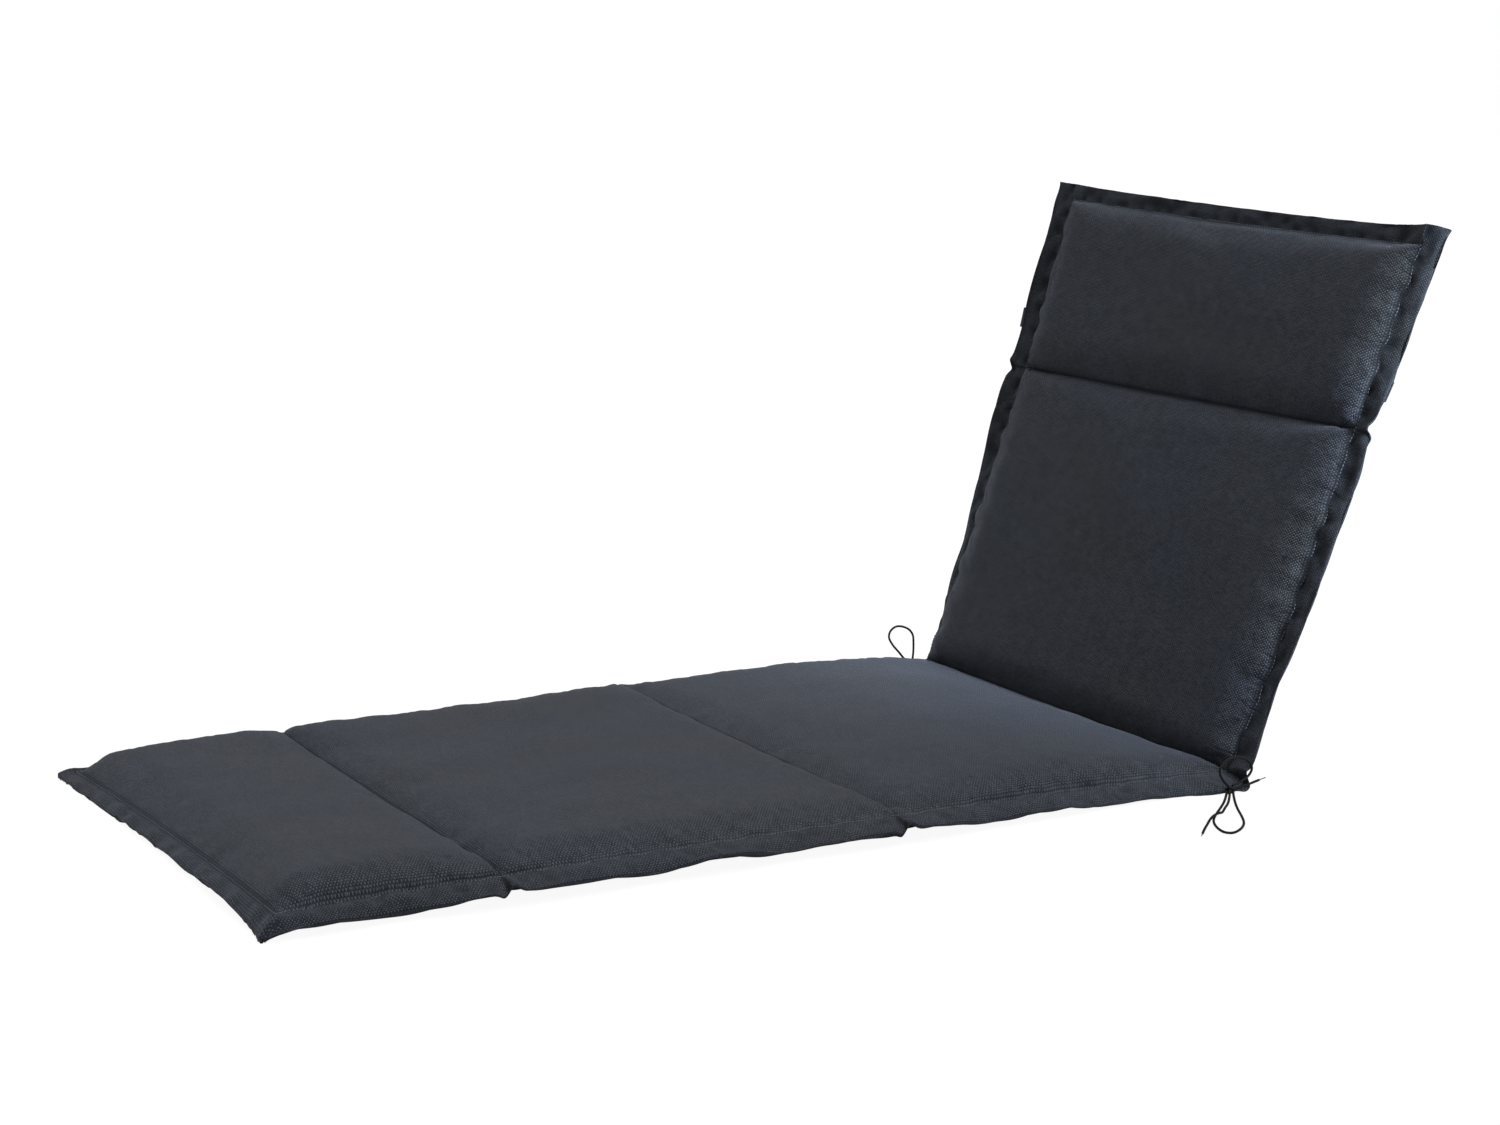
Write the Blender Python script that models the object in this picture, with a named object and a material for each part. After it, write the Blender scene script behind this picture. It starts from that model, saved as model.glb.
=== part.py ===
"""A padded sun lounger cushion: one long quilted pad of five panels, folded up at the back rest,
with a flat flange all round, an elastic band behind the head panel and a cord tie at each side."""

import math
from collections import namedtuple

import bmesh
import bpy
from mathutils import Vector

# Cover and padding, in metres
CLOTH = 0.0026          # thickness of the edge, two covers and their turned hem
FOOT_HEIGHT = 0.013     # height of the stitch line at the foot end
SEAM_REACH = 0.033      # how far from a sewn channel the padding reaches its full height
SIDE_REACH = 0.037      # the same from a side stitch line
PINCH = 0.30            # share of the flange's width that a sewn channel gathers in at its ends
PINCH_REACH = 0.014
SIDE_DRAW = 0.003       # how far the sides pull in between two sewn channels
DOME = 0.15             # share of the crown that rises slowly towards a panel's middle
BEND = 0.014            # the cover turns from one panel's slope to the next over this distance
FLOOR_GAP = 0.0002      # the flange's lowest edge stays this far above the surface

# The sewn lines from foot to head. panel is the padded length before the line and pitch its slope
# in degrees. Each half is from the middle to that side's stitch line, each rim the flange's width
# there, along a shift up the cushion and lift a shift off its face, all at the near and far side.
Line = namedtuple("Line", "name panel pitch near_half near_rim near_along near_lift far_half far_rim far_along far_lift")
LINES = (
    Line("foot", 0.000, 2.65, 0.2915, 0.019, -0.001, 0.009, 0.2750, 0.010, 0.005, -0.007),
    Line("shin", 0.238, 2.65, 0.2960, 0.024, -0.007, 0.002, 0.2900, 0.023, 0.008, -0.001),
    Line("knee", 0.469, 0.61, 0.2990, 0.025, -0.003, -0.003, 0.2990, 0.025, 0.001, 0.0025),
    Line("fold", 0.485, -1.30, 0.2920, 0.024, -0.001, -0.004, 0.2920, 0.025, 0.001, 0.0015),
    Line("shoulder", 0.425, 69.0, 0.3000, 0.024, 0.001, -0.004, 0.3000, 0.026, -0.0025, 0.0035),
    Line("head", 0.231, 72.4, 0.3060, 0.028, -0.002, -0.007, 0.3060, 0.028, 0.005, 0.0095),
)
FOLD = 3                # the line where the back rest folds up
TAB = 0.014             # how much the tie draws the near flange out at the fold
TAB_REACH = (0.060, 0.025)      # before the fold and after it

# The padded panels between those lines: crown above the stitch line, the padding below it, which on
# the first three is flat on the surface, and how far the panel bows off the straight. Then how far
# the flange's rim hangs (minus) or curls up (plus) at the panel's start and end, near and far.
Panel = namedtuple("Panel", "name upper lower bow near_start near_end far_start far_end")
PANELS = (
    Panel("calf", 0.024, None, 0.0, -0.015, -0.011, -0.004, -0.014),
    Panel("thigh", 0.010, None, 0.0, -0.010, -0.011, -0.014, -0.016),
    Panel("seat", 0.015, None, 0.0, -0.010, -0.014, -0.016, -0.012),
    Panel("back", 0.016, 0.020, -0.006, 0.002, -0.006, -0.012, 0.009),
    Panel("headrest", 0.015, 0.019, 0.0, -0.003, -0.013, 0.007, 0.004),
)

# The flange past the first and the last line: its width near, in the middle and far, how far the
# stitch line bows in at the middle, how far the rim hangs there, and how much of the side flange's
# width reaches the corner.
End = namedtuple("End", "name near middle far bow hang corner")
FOOT_END = End("foot", 0.0250, 0.0185, 0.0240, 0.006, 0.0080, 0.42)
HEAD_END = End("head", 0.0210, 0.0190, 0.0220, 0.003, 0.0, 1.15)
BOW_REACH = 0.090

# Soft unevenness of the flange's rim: length and size of each wave, and where it starts
Wave = namedtuple("Wave", "length size start")
RIM_WAVES = (Wave(0.143, 0.0016, 0.3), Wave(0.227, 0.0022, 1.9))

# Where the sections and columns of the cover lie, from a stitch line inwards
SECTION_STEPS = (0.007, 0.018)
SECTION_PITCH = 0.026
COLUMN_STEPS = (0.008, 0.020, 0.038, 0.062)
COLUMN_PITCH = 0.059
FLANGE_STEPS = (0.5, 1.0)

# Elastic band across the back of the head panel
BAND_WIDTH = 0.026
BAND_THICK = 0.0016
BAND_NEAR = 0.053       # from the sewn line at the shoulder to the band's middle, at its near end
BAND_FAR = 0.066        # the same at its far end
BAND_PROUD = (0.001, 0.007)     # how far its near and far ends stand out past the flange
BAND_CLEAR = 0.0005

# Cord ties, one bow at each side of the fold. The knot sits against the flange's rim.
CORD = 0.003            # diameter
CORD_SIDES = 2          # bevel resolution of the cord's round
TIP = 0.0011            # diameter of a sealed tip
TIP_LENGTH = 0.011
POINT_SPACING = 0.0072
KNOT = (0.0055, 0.0048, 0.0050)     # half sizes of the knot: along the cushion, outwards and up
KNOT_WRAPS = 3
KNOT_RIDGE = 0.05
KNOT_HEIGHT = 0.0053    # the knot's middle above the surface
TOUCH = 0.0003          # gap between pieces that touch

# Routes of the cord, in metres from the knot. On the first two, ahead runs down the middle of the
# long loop, aside across it and up from the surface; on the others, along is towards the head end
# and out away from the cushion's side.
Lying = namedtuple("Lying", "ahead aside up")
LONG_LOOP = (
    Lying(0.0048, -0.0036, 0.0048), Lying(0.014, -0.0042, 0.0026), Lying(0.036, -0.0060, 0.0016),
    Lying(0.059, -0.0090, 0.0016), Lying(0.081, -0.0126, 0.0016), Lying(0.101, -0.0156, 0.0016),
    Lying(0.117, -0.0166, 0.0016), Lying(0.132, -0.0152, 0.0016), Lying(0.146, -0.0115, 0.0016),
    Lying(0.157, -0.0060, 0.0016), Lying(0.160, 0.0000, 0.0016), Lying(0.157, 0.0060, 0.0016),
    Lying(0.146, 0.0115, 0.0016), Lying(0.132, 0.0152, 0.0016), Lying(0.117, 0.0166, 0.0016),
    Lying(0.101, 0.0156, 0.0016), Lying(0.081, 0.0126, 0.0016), Lying(0.059, 0.0090, 0.0016),
    Lying(0.036, 0.0064, 0.0016), Lying(0.014, 0.0045, 0.0026), Lying(0.0048, 0.0036, 0.0048),
)
LONG_END = (
    Lying(0.0056, -0.0002, 0.0068), Lying(0.013, -0.0002, 0.0065), Lying(0.028, -0.0006, 0.0036),
    Lying(0.043, -0.0018, 0.0017), Lying(0.064, -0.0050, 0.0016), Lying(0.081, -0.0074, 0.0018),
    Lying(0.094, -0.0108, 0.0042), Lying(0.104, -0.0142, 0.0054), Lying(0.116, -0.0180, 0.0056),
    Lying(0.127, -0.0210, 0.0044), Lying(0.138, -0.0234, 0.0022), Lying(0.152, -0.0256, 0.0016),
    Lying(0.167, -0.0272, 0.0016), Lying(0.181, -0.0285, 0.0016),
)
Standing = namedtuple("Standing", "along out up")
LEANING_LOOP = (
    Standing(-0.0031, 0.0, 0.0106), Standing(-0.0090, 0.001, 0.0150), Standing(-0.0165, 0.0015, 0.0225),
    Standing(-0.0195, 0.001, 0.0305), Standing(-0.0160, 0.0, 0.0380), Standing(-0.0065, -0.0005, 0.0430),
    Standing(0.0055, -0.0005, 0.0445), Standing(0.0180, -0.0005, 0.0420), Standing(0.0280, 0.0, 0.0355),
    Standing(0.0310, 0.001, 0.0275), Standing(0.0250, 0.0015, 0.0195), Standing(0.0135, 0.001, 0.0140),
    Standing(0.0031, 0.0, 0.0106),
)
UPRIGHT_LOOP = (
    Standing(-0.0031, 0.0, 0.0106), Standing(-0.0095, 0.002, 0.0185), Standing(-0.018, 0.004, 0.0285),
    Standing(-0.027, 0.006, 0.0385), Standing(-0.0325, 0.008, 0.049), Standing(-0.029, 0.010, 0.0575),
    Standing(-0.0195, 0.011, 0.0625), Standing(-0.008, 0.011, 0.0615), Standing(0.0025, 0.010, 0.0565),
    Standing(0.0085, 0.009, 0.0485), Standing(0.0088, 0.007, 0.038), Standing(0.0070, 0.004, 0.0265),
    Standing(0.0045, 0.0015, 0.0165), Standing(0.0031, 0.0, 0.0106),
)
SHORT_END = (
    Standing(0.0056, 0.0000, 0.0058), Standing(0.013, 0.0005, 0.0070), Standing(0.026, 0.0012, 0.0094),
    Standing(0.040, 0.0010, 0.0120), Standing(0.055, 0.0002, 0.0142),
)

# One bow a side. back is the knot's distance from the fold towards the foot, and turn the angle in
# degrees between the long loop and straight out from the side.
Tie = namedtuple("Tie", "name side back turn loop")
TIES = (
    Tie("tie_near", -1, 0.028, 44.0, LEANING_LOOP),
    Tie("tie_far", 1, 0.015, 66.0, UPRIGHT_LOOP),
)

FABRIC = (0.060, 0.068, 0.082)
BAND_COLOUR = (0.020, 0.020, 0.022)
CORD_COLOUR = (0.014, 0.014, 0.015)


def start():
    for thing in list(bpy.data.objects):
        bpy.data.objects.remove(thing, do_unlink=True)
    home = bpy.data.collections.new("sun_lounger_cushion")
    bpy.context.scene.collection.children.link(home)
    return home


def finish_of(name, colour, roughness):
    material = bpy.data.materials.new(name)
    material.use_nodes = True
    shader = material.node_tree.nodes["Principled BSDF"]
    shader.inputs["Base Color"].default_value = (*colour, 1.0)
    shader.inputs["Roughness"].default_value = roughness
    shader.inputs["Metallic"].default_value = 0.0
    return material


def blend(first, second, share):
    return first + (second - first) * share


def spread(length, steps, pitch):
    """Distances from 0 to length, close together at both ends and even between."""
    inner = length - 2 * steps[-1]
    count = max(1, round(inner / pitch))
    middle = [steps[-1] + inner * k / count for k in range(count + 1)]
    tail = [length - step for step in reversed(steps[:-1])]
    return [0.0, *steps[:-1], *middle, *tail, length]


def shoulder(distance, reach):
    """Share of the full height that padding has at a distance from a stitch line."""
    return 1.0 - (1.0 - min(distance / reach, 1.0)) ** 2


def rim_wave(along, side):
    return sum(w.size * math.sin(2 * math.pi * along / w.length + w.start + side) for w in RIM_WAVES)


def slope(pitch):
    angle = math.radians(pitch)
    return Vector((math.cos(angle), 0.0, math.sin(angle)))


def face_normal(pitch):
    angle = math.radians(pitch)
    return Vector((-math.sin(angle), 0.0, math.cos(angle)))


def line_ends():
    """The near and far end of each sewn line, with the fold at x = 0."""
    spots = []
    spot = Vector((0.0, 0.0, FOOT_HEIGHT))
    for line in LINES:
        spot = spot + slope(line.pitch) * line.panel
        spots.append(spot.copy())
    fold_x = spots[FOLD].x
    ends = []
    for line, spot in zip(LINES, spots):
        spot.x -= fold_x
        pair = []
        for along, lift in ((line.near_along, line.near_lift), (line.far_along, line.far_lift)):
            pair.append(spot + slope(line.pitch) * along + face_normal(line.pitch) * lift)
        ends.append(pair)
    return ends


ENDS = line_ends()
RUN = sum(line.panel for line in LINES)


def pitch_at(index, distance):
    """Slope of the cover at a distance up a panel, eased over each sewn line."""
    own = LINES[index + 1].pitch
    length = LINES[index + 1].panel
    before = LINES[index].pitch if index > 0 else own
    after = LINES[index + 2].pitch if index + 2 < len(LINES) else own
    if distance < BEND:
        return blend((before + own) / 2, own, distance / BEND)
    if length - distance < BEND:
        return blend((after + own) / 2, own, (length - distance) / BEND)
    return own


def end_of(index):
    """The end flange next to a panel, and whether it lies before the panel."""
    if index == 0:
        return FOOT_END, True
    if index == len(PANELS) - 1:
        return HEAD_END, False
    return None, False


class Section:
    """One cross section of the cushion, at a distance up a panel."""

    def __init__(self, index, distance):
        low, high = LINES[index], LINES[index + 1]
        share = distance / high.panel
        self.panel = PANELS[index]
        self.length = high.panel
        self.distance = distance
        self.run = sum(line.panel for line in LINES[:index + 1]) + distance
        self.near = blend(ENDS[index][0], ENDS[index + 1][0], share)
        self.far = blend(ENDS[index][1], ENDS[index + 1][1], share)
        drawn = SIDE_DRAW * 4 * share * (1 - share)
        self.near_y = drawn - blend(low.near_half, high.near_half, share)
        self.far_y = blend(low.far_half, high.far_half, share) - drawn
        self.half = (self.far_y - self.near_y) / 2
        self.from_line = min(distance, high.panel - distance)
        self.pitch = pitch_at(index, distance)
        self.normal = face_normal(self.pitch)
        self.bow = self.panel.bow * 6.75 * share * (1 - share) ** 2
        gather = 1 - PINCH * math.exp(-(self.from_line / PINCH_REACH) ** 2)
        if self.run < PINCH_REACH or self.run > RUN - PINCH_REACH:
            gather = 1.0
        self.rims = (blend(low.near_rim, high.near_rim, share) * gather + self.tab(index),
                     blend(low.far_rim, high.far_rim, share) * gather)
        self.edges = (blend(self.panel.near_start, self.panel.near_end, share) * gather,
                      blend(self.panel.far_start, self.panel.far_end, share) * gather)
        end, before = end_of(index)
        self.draw = 0.0
        if end:
            to_end = distance if before else high.panel - distance
            self.draw = end.bow * (1 - min(to_end / BOW_REACH, 1.0)) ** 2 * (1 if before else -1)

    def tab(self, index):
        if index == FOLD - 1:
            return TAB * math.exp(-((self.length - self.distance) / TAB_REACH[0]) ** 2)
        if index == FOLD:
            return TAB * math.exp(-(self.distance / TAB_REACH[1]) ** 2)
        return 0.0

    def middle(self, across):
        """The point between the two covers, across from -1 at the near stitch line to 1 at the far."""
        spot = blend(self.near, self.far, (across + 1) / 2)
        spot.y = blend(self.near_y, self.far_y, (across + 1) / 2)
        spot += self.normal * self.bow
        return spot + slope(self.pitch) * self.draw * (1 - across * across)

    def fullness(self, across):
        side = shoulder((1 - abs(across)) * self.half, SIDE_REACH)
        end = shoulder(self.from_line, SEAM_REACH)
        return side * end

    def crown(self, across):
        share = self.distance / self.length
        rise = 4 * share * (1 - share) * (1 - across * across)
        return self.panel.upper * self.fullness(across) * (1 - DOME + DOME * rise)

    def top(self, across):
        return self.middle(across) + self.normal * (CLOTH / 2 + self.crown(across))

    def bottom(self, across):
        middle = self.middle(across)
        full = self.fullness(across)
        if self.panel.lower is None:
            depth = blend(CLOTH / 2, middle.z, full)
            return Vector((middle.x, middle.y, max(middle.z - depth, 0.0)))
        return middle - self.normal * (CLOTH / 2 + self.panel.lower * full)

    def flange(self, side, share):
        """The flange's middle at a share of its width, side -1 near or 1 far."""
        stitch = self.middle(side)
        rim = self.rims[0 if side < 0 else 1]
        edge = self.edges[0 if side < 0 else 1] + rim_wave(self.run, side)
        lowest = (CLOTH / 2 + FLOOR_GAP - stitch.z) / self.normal.z
        edge = max(edge, lowest, -0.9 * rim)
        reach = math.sqrt(rim ** 2 - edge ** 2)
        drop = edge * share ** 1.5
        out = reach * blend(share, math.sin(math.pi / 2 * share), 0.4)
        return stitch + Vector((0.0, side * out, 0.0)) + self.normal * drop

    def columns(self, side_share=1.0):
        """Pairs of points on the upper and lower cover, from the near rim to the far rim."""
        half_cloth = self.normal * (CLOTH / 2)
        pairs = []
        for side, across in COLUMNS:
            if abs(across) > 1:
                spot = self.flange(side, (abs(across) - 1) * side_share)
                pairs.append((spot + half_cloth, spot - half_cloth))
            else:
                pairs.append((self.top(across), self.bottom(across)))
        return pairs


def column_places():
    """The side and place of each column: within 1 between the stitch lines, past it on the flange."""
    places = [(-1, -1 - share) for share in reversed(FLANGE_STEPS)]
    whole = LINES[FOLD].near_half + LINES[FOLD].far_half
    for distance in spread(whole, COLUMN_STEPS, COLUMN_PITCH):
        across = 2 * distance / whole - 1
        places.append((-1 if across < 0 else 1, across))
    return places + [(1, 1 + share) for share in FLANGE_STEPS]


COLUMNS = column_places()


def end_flange(section, end, outward):
    """The strips of flange past the first or the last sewn line, hanging as far as the surface lets them."""
    along = slope(section.pitch) * outward
    thick = section.normal * (CLOTH / 2)
    strips = []
    for share in FLANGE_STEPS:
        pairs = []
        corner = blend(1.0, end.corner, share ** 2.5)
        for (side, across), (upper, lower) in zip(COLUMNS, section.columns(corner)):
            middle = (upper + lower) / 2
            outer = min(abs(across), 1.0) ** 7
            width = blend(end.middle, end.near if side < 0 else end.far, outer)
            drop = 0.0
            if section.panel.lower is None:
                floor = middle.z - CLOTH / 2 - FLOOR_GAP + along.z * width
                drop = blend(end.hang + rim_wave(across * section.half, 1), floor, outer)
                drop = max(0.0, min(drop, floor, 0.85 * width))
            reach = math.sqrt(width ** 2 - drop ** 2)
            spot = middle + along * reach * share - section.normal * drop * share ** 1.5
            pairs.append((spot + thick, spot - thick))
        strips.append(pairs)
    return strips


def cover_sections():
    rows = []
    for index in range(len(PANELS)):
        distances = spread(LINES[index + 1].panel, SECTION_STEPS, SECTION_PITCH)
        if index > 0:
            distances = distances[1:]
        rows += [Section(index, distance) for distance in distances]
    strips = list(reversed(end_flange(rows[0], FOOT_END, -1)))
    strips += [row.columns() for row in rows]
    strips += end_flange(rows[-1], HEAD_END, 1)
    return strips


def loft(name, strips, material, home):
    """A closed solid from strips of upper and lower points, each strip joined to the next."""
    points = []
    for pairs in strips:
        points += [pair[0] for pair in pairs] + [pair[1] for pair in reversed(pairs)]
    ring = 2 * len(strips[0])
    faces = []
    for row in range(len(strips) - 1):
        for k in range(ring):
            after = (k + 1) % ring
            a, b = row * ring + k, row * ring + after
            faces.append((a, a + ring, b + ring, b))
    for row, flip in ((0, False), (len(strips) - 1, True)):
        for k in range(len(strips[0]) - 1):
            cap = (row * ring + k, row * ring + k + 1, row * ring + ring - 2 - k, row * ring + ring - 1 - k)
            faces.append(tuple(reversed(cap)) if flip else cap)
    mesh = bpy.data.meshes.new(name)
    mesh.from_pydata(points, [], faces)
    mesh.update()
    mesh.shade_smooth()
    mesh.materials.append(material)
    piece = bpy.data.objects.new(name, mesh)
    home.objects.link(piece)
    return piece


def taut(profile, across):
    """Height of a band pulled tight over a profile."""
    best = -1.0
    for left, low in profile:
        for right, high in profile:
            if left <= across <= right and left < right:
                best = max(best, blend(low, high, (across - left) / (right - left)))
    return best


def band_line(offset):
    """Points of one long edge of the band, on the back of the head panel from rim to rim and past them."""
    index = len(PANELS) - 1
    backs = []
    for column, (side, across) in enumerate(COLUMNS):
        place = blend(BAND_NEAR, BAND_FAR, (min(max(across, -1.0), 1.0) + 1) / 2)
        section = Section(index, place + offset)
        backs.append(section.columns()[column][1])
    normal = section.normal
    profile = [(back.y, (backs[0] - back).dot(normal)) for back in backs]
    line = []
    for back, (across, height) in zip(backs, profile):
        line.append(back + normal * (height - taut(profile, across) - BAND_CLEAR))
    near_end = line[0] - Vector((0.0, BAND_PROUD[0], 0.0))
    far_end = line[-1] + Vector((0.0, BAND_PROUD[1], 0.0))
    return normal, [near_end, *line, far_end]


def make_band(material, home):
    strips = []
    normal, low_line = band_line(-BAND_WIDTH / 2)
    normal, high_line = band_line(BAND_WIDTH / 2)
    for low, high in zip(low_line, high_line):
        strips.append([(high, high - normal * BAND_THICK), (low, low - normal * BAND_THICK)])
    return loft("head_band", strips, material, home)


def smooth(route):
    """Points a little way apart along a smooth curve through a route's points."""
    padded = [route[0] * 2 - route[1], *route, route[-1] * 2 - route[-2]]
    fine = []
    for before, first, second, after in zip(padded, padded[1:], padded[2:], padded[3:]):
        for step in range(20):
            t = step / 20
            fine.append((first * 2 + (second - before) * t + (before * 2 - first * 5 + second * 4 - after) * t ** 2
                         + (first * 3 - before - second * 3 + after) * t ** 3) / 2)
    fine.append(route[-1])
    lengths = [0.0]
    for one, other in zip(fine, fine[1:]):
        lengths.append(lengths[-1] + (other - one).length)
    count = max(2, round(lengths[-1] / POINT_SPACING))
    points = []
    for k in range(count + 1):
        goal = lengths[-1] * k / count
        place = next(i for i, length in enumerate(lengths) if length >= goal - 1e-9)
        points.append(fine[place])
    return points


def tube(name, points, radii, material, home):
    curve = bpy.data.curves.new(name, "CURVE")
    curve.dimensions = "3D"
    curve.bevel_depth = CORD / 2
    curve.bevel_resolution = CORD_SIDES
    curve.use_fill_caps = True
    curve.materials.append(material)
    spline = curve.splines.new("POLY")
    spline.points.add(len(points) - 1)
    for place, point, radius in zip(spline.points, points, radii):
        place.co = (*point, 1.0)
        place.radius = radius
    piece = bpy.data.objects.new(name, curve)
    home.objects.link(piece)
    return piece


def cord(name, route, material, home):
    points = smooth(route)
    return tube(name, points, [1.0] * len(points), material, home)


def free_end(name, route, material, home):
    """A cord's end, which narrows to a sealed tip."""
    points = smooth(route)
    direction = (points[-1] - points[-2]).normalized()
    neck = points[-1] - direction * TIP_LENGTH
    body = [point for point in points if (point - points[-1]).length > TIP_LENGTH + 0.4 * POINT_SPACING]
    thin = TIP / CORD
    places = [*body, neck, neck + direction * CORD / 2, points[-1]]
    return tube(name, places, [1.0] * (len(body) + 1) + [thin, thin], material, home)


def make_knot(name, middle, material, home):
    """A tight lump of cord, with the ridges of its wraps raised across it."""
    work = bmesh.new()
    bmesh.ops.create_uvsphere(work, u_segments=18, v_segments=10, radius=1.0)
    for vert in work.verts:
        turn = math.atan2(vert.co.y, vert.co.x)
        flat = 1 - vert.co.z ** 2
        ridge = 1 - KNOT_RIDGE * (1 + math.cos(KNOT_WRAPS * 2 * (turn + 0.6 * vert.co.z))) * flat
        vert.co = Vector(size * value * ridge for size, value in zip(KNOT, vert.co))
    mesh = bpy.data.meshes.new(name)
    work.to_mesh(mesh)
    work.free()
    mesh.shade_smooth()
    mesh.materials.append(material)
    piece = bpy.data.objects.new(name, mesh)
    piece.location = middle
    home.objects.link(piece)
    return piece


def rim_at(back, side):
    """The middle of the seat's rim at a distance from the fold, on the straight between two sections."""
    goal = LINES[FOLD].panel - back
    distances = spread(LINES[FOLD].panel, SECTION_STEPS, SECTION_PITCH)
    after = next(distance for distance in distances if distance >= goal)
    before = distances[distances.index(after) - 1]
    rims = [Section(FOLD - 1, distance).flange(side, 1.0) for distance in (before, after)]
    return blend(*rims, (goal - before) / (after - before))


def make_tie(tie, material, home):
    """A bow of cord at one side of the fold: two loops and two free ends round a knot."""
    rim = rim_at(tie.back, tie.side)
    knot = Vector((rim.x, rim.y + tie.side * (KNOT[1] + TOUCH), 0.0))
    turn = math.radians(tie.turn)

    def standing(point):
        return knot + Vector((point.along, tie.side * point.out, point.up))

    def lying(point):
        along = point.aside * math.cos(turn) - point.ahead * math.sin(turn)
        out = point.aside * math.sin(turn) + point.ahead * math.cos(turn)
        return knot + Vector((along, tie.side * out, point.up))

    return [
        make_knot(tie.name + "_knot", knot + Vector((0.0, 0.0, KNOT_HEIGHT)), material, home),
        cord(tie.name + "_long_loop", [lying(point) for point in LONG_LOOP], material, home),
        free_end(tie.name + "_long_end", [lying(point) for point in LONG_END], material, home),
        cord(tie.name + "_short_loop", [standing(point) for point in tie.loop], material, home),
        free_end(tie.name + "_short_end", [standing(point) for point in SHORT_END], material, home),
    ]


def middle_below(pieces):
    """The middle of the pieces' box, on the surface they lie on."""
    spots = [vert.co for piece in pieces for vert in piece.data.vertices]
    low = Vector(min(spot[axis] for spot in spots) for axis in range(3))
    high = Vector(max(spot[axis] for spot in spots) for axis in range(3))
    return Vector(((low.x + high.x) / 2, (low.y + high.y) / 2, 0.0))


def main():
    home = start()
    cloth = finish_of("cover_cloth", FABRIC, 0.9)
    elastic = finish_of("elastic", BAND_COLOUR, 0.8)
    string = finish_of("tie_cord", CORD_COLOUR, 0.7)
    pieces = [loft("cushion", cover_sections(), cloth, home), make_band(elastic, home)]
    centre = middle_below(pieces)
    for tie in TIES:
        pieces += make_tie(tie, string, home)
    stand = bpy.data.objects.new("surface_centre", None)
    home.objects.link(stand)
    stand.location = -centre
    for piece in pieces:
        piece.parent = stand


main()
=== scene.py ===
"""A padded sun lounger cushion with its back part raised, on a pale floor."""

import math
from collections import namedtuple

import bpy
import numpy as np
from mathutils import Matrix, Vector, noise
from mathutils.bvhtree import BVHTree


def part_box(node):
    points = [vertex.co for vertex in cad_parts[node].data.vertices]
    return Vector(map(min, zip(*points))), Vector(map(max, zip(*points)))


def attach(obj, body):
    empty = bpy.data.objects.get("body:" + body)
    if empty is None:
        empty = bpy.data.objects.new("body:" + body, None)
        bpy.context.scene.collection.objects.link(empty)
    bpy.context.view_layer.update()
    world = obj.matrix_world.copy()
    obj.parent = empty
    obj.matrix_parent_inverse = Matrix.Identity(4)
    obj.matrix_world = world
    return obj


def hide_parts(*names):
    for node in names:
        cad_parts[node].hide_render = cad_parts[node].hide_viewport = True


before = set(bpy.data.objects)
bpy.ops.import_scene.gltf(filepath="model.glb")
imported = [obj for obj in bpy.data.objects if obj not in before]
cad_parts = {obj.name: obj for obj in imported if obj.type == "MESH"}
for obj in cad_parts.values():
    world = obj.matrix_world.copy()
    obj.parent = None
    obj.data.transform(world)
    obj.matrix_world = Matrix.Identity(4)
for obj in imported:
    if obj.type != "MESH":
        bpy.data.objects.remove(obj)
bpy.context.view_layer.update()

# The camera, at the height of a person who sits a few steps from the foot end

FOLD = Vector((0.4808, -0.0014, 0.0))        # where the back part folds up, on the floor
CAMERA_FROM_FOLD = Vector((-2.080, -2.408, 0.818))
CAMERA_HEADING = 33.42                       # degrees, right of the cushion's width
CAMERA_DOWN = 11.19
CAMERA_ROLL = 2.32
LENS_PIXELS = 2561.0
IMAGE_WIDTH = 1500.0
SENSOR = 36.0

heading, down, roll = (math.radians(angle) for angle in (CAMERA_HEADING, CAMERA_DOWN, CAMERA_ROLL))
ahead = Vector((math.sin(heading) * math.cos(down), math.cos(heading) * math.cos(down), -math.sin(down)))
level = Vector((math.cos(heading), -math.sin(heading), 0.0))
upright = level.cross(ahead)
right = level * math.cos(roll) + upright * math.sin(roll)
above = upright * math.cos(roll) - level * math.sin(roll)
lens = bpy.data.cameras.new("camera")
lens.sensor_width = SENSOR
lens.lens = LENS_PIXELS * SENSOR / IMAGE_WIDTH
lens.clip_start = 0.05
camera = bpy.data.objects.new("camera", lens)
turned = Matrix((right, above, -ahead)).transposed().to_4x4()
camera.matrix_world = Matrix.Translation(FOLD + CAMERA_FROM_FOLD) @ turned
bpy.context.scene.collection.objects.link(camera)
bpy.context.scene.camera = camera
bpy.context.scene.view_settings.view_transform = "Standard"


# Cord ties
# A round braided cord of 3 mm is sewn to the flange at each side of the fold and tied in a bow. Each
# bow is a tight knot, a long loop and a long end that lie on the floor, and a short loop and a short
# end that the stiff cord holds up. Every end is sealed to a thin tip.

CORD = 0.003
TIP = 0.0011
TIP_LENGTH = 0.011
TIP_TAPER = 0.0015          # length over which the cord narrows to its tip
CORD_SIDES = 14
CORD_PITCH = 0.0011         # between two rings of the cord's surface
BRAID_RELIEF = 0.055        # share of the radius that the braid's strands stand out
BRAID_LAY = 0.0075          # one turn of a strand
BRAID_STRANDS = 5
KNOT_MIDDLE = 0.0053
KNOT_HALF = Vector((0.0054, 0.0047, 0.0049))
KNOT_RINGS = 90
KNOT_PULLED = 0.95          # share of its thickness that the cord keeps in the knot
KNOT_SUNK = 0.9             # share of the cord's half that lies within the knot's half sizes
CURVE_STEPS = 24            # short straight steps between two points of a route
CORD_DARK = (0.0012, 0.0012, 0.0012, 1.0)
CORD_LIGHT = (0.0050, 0.0048, 0.0046, 1.0)

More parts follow.
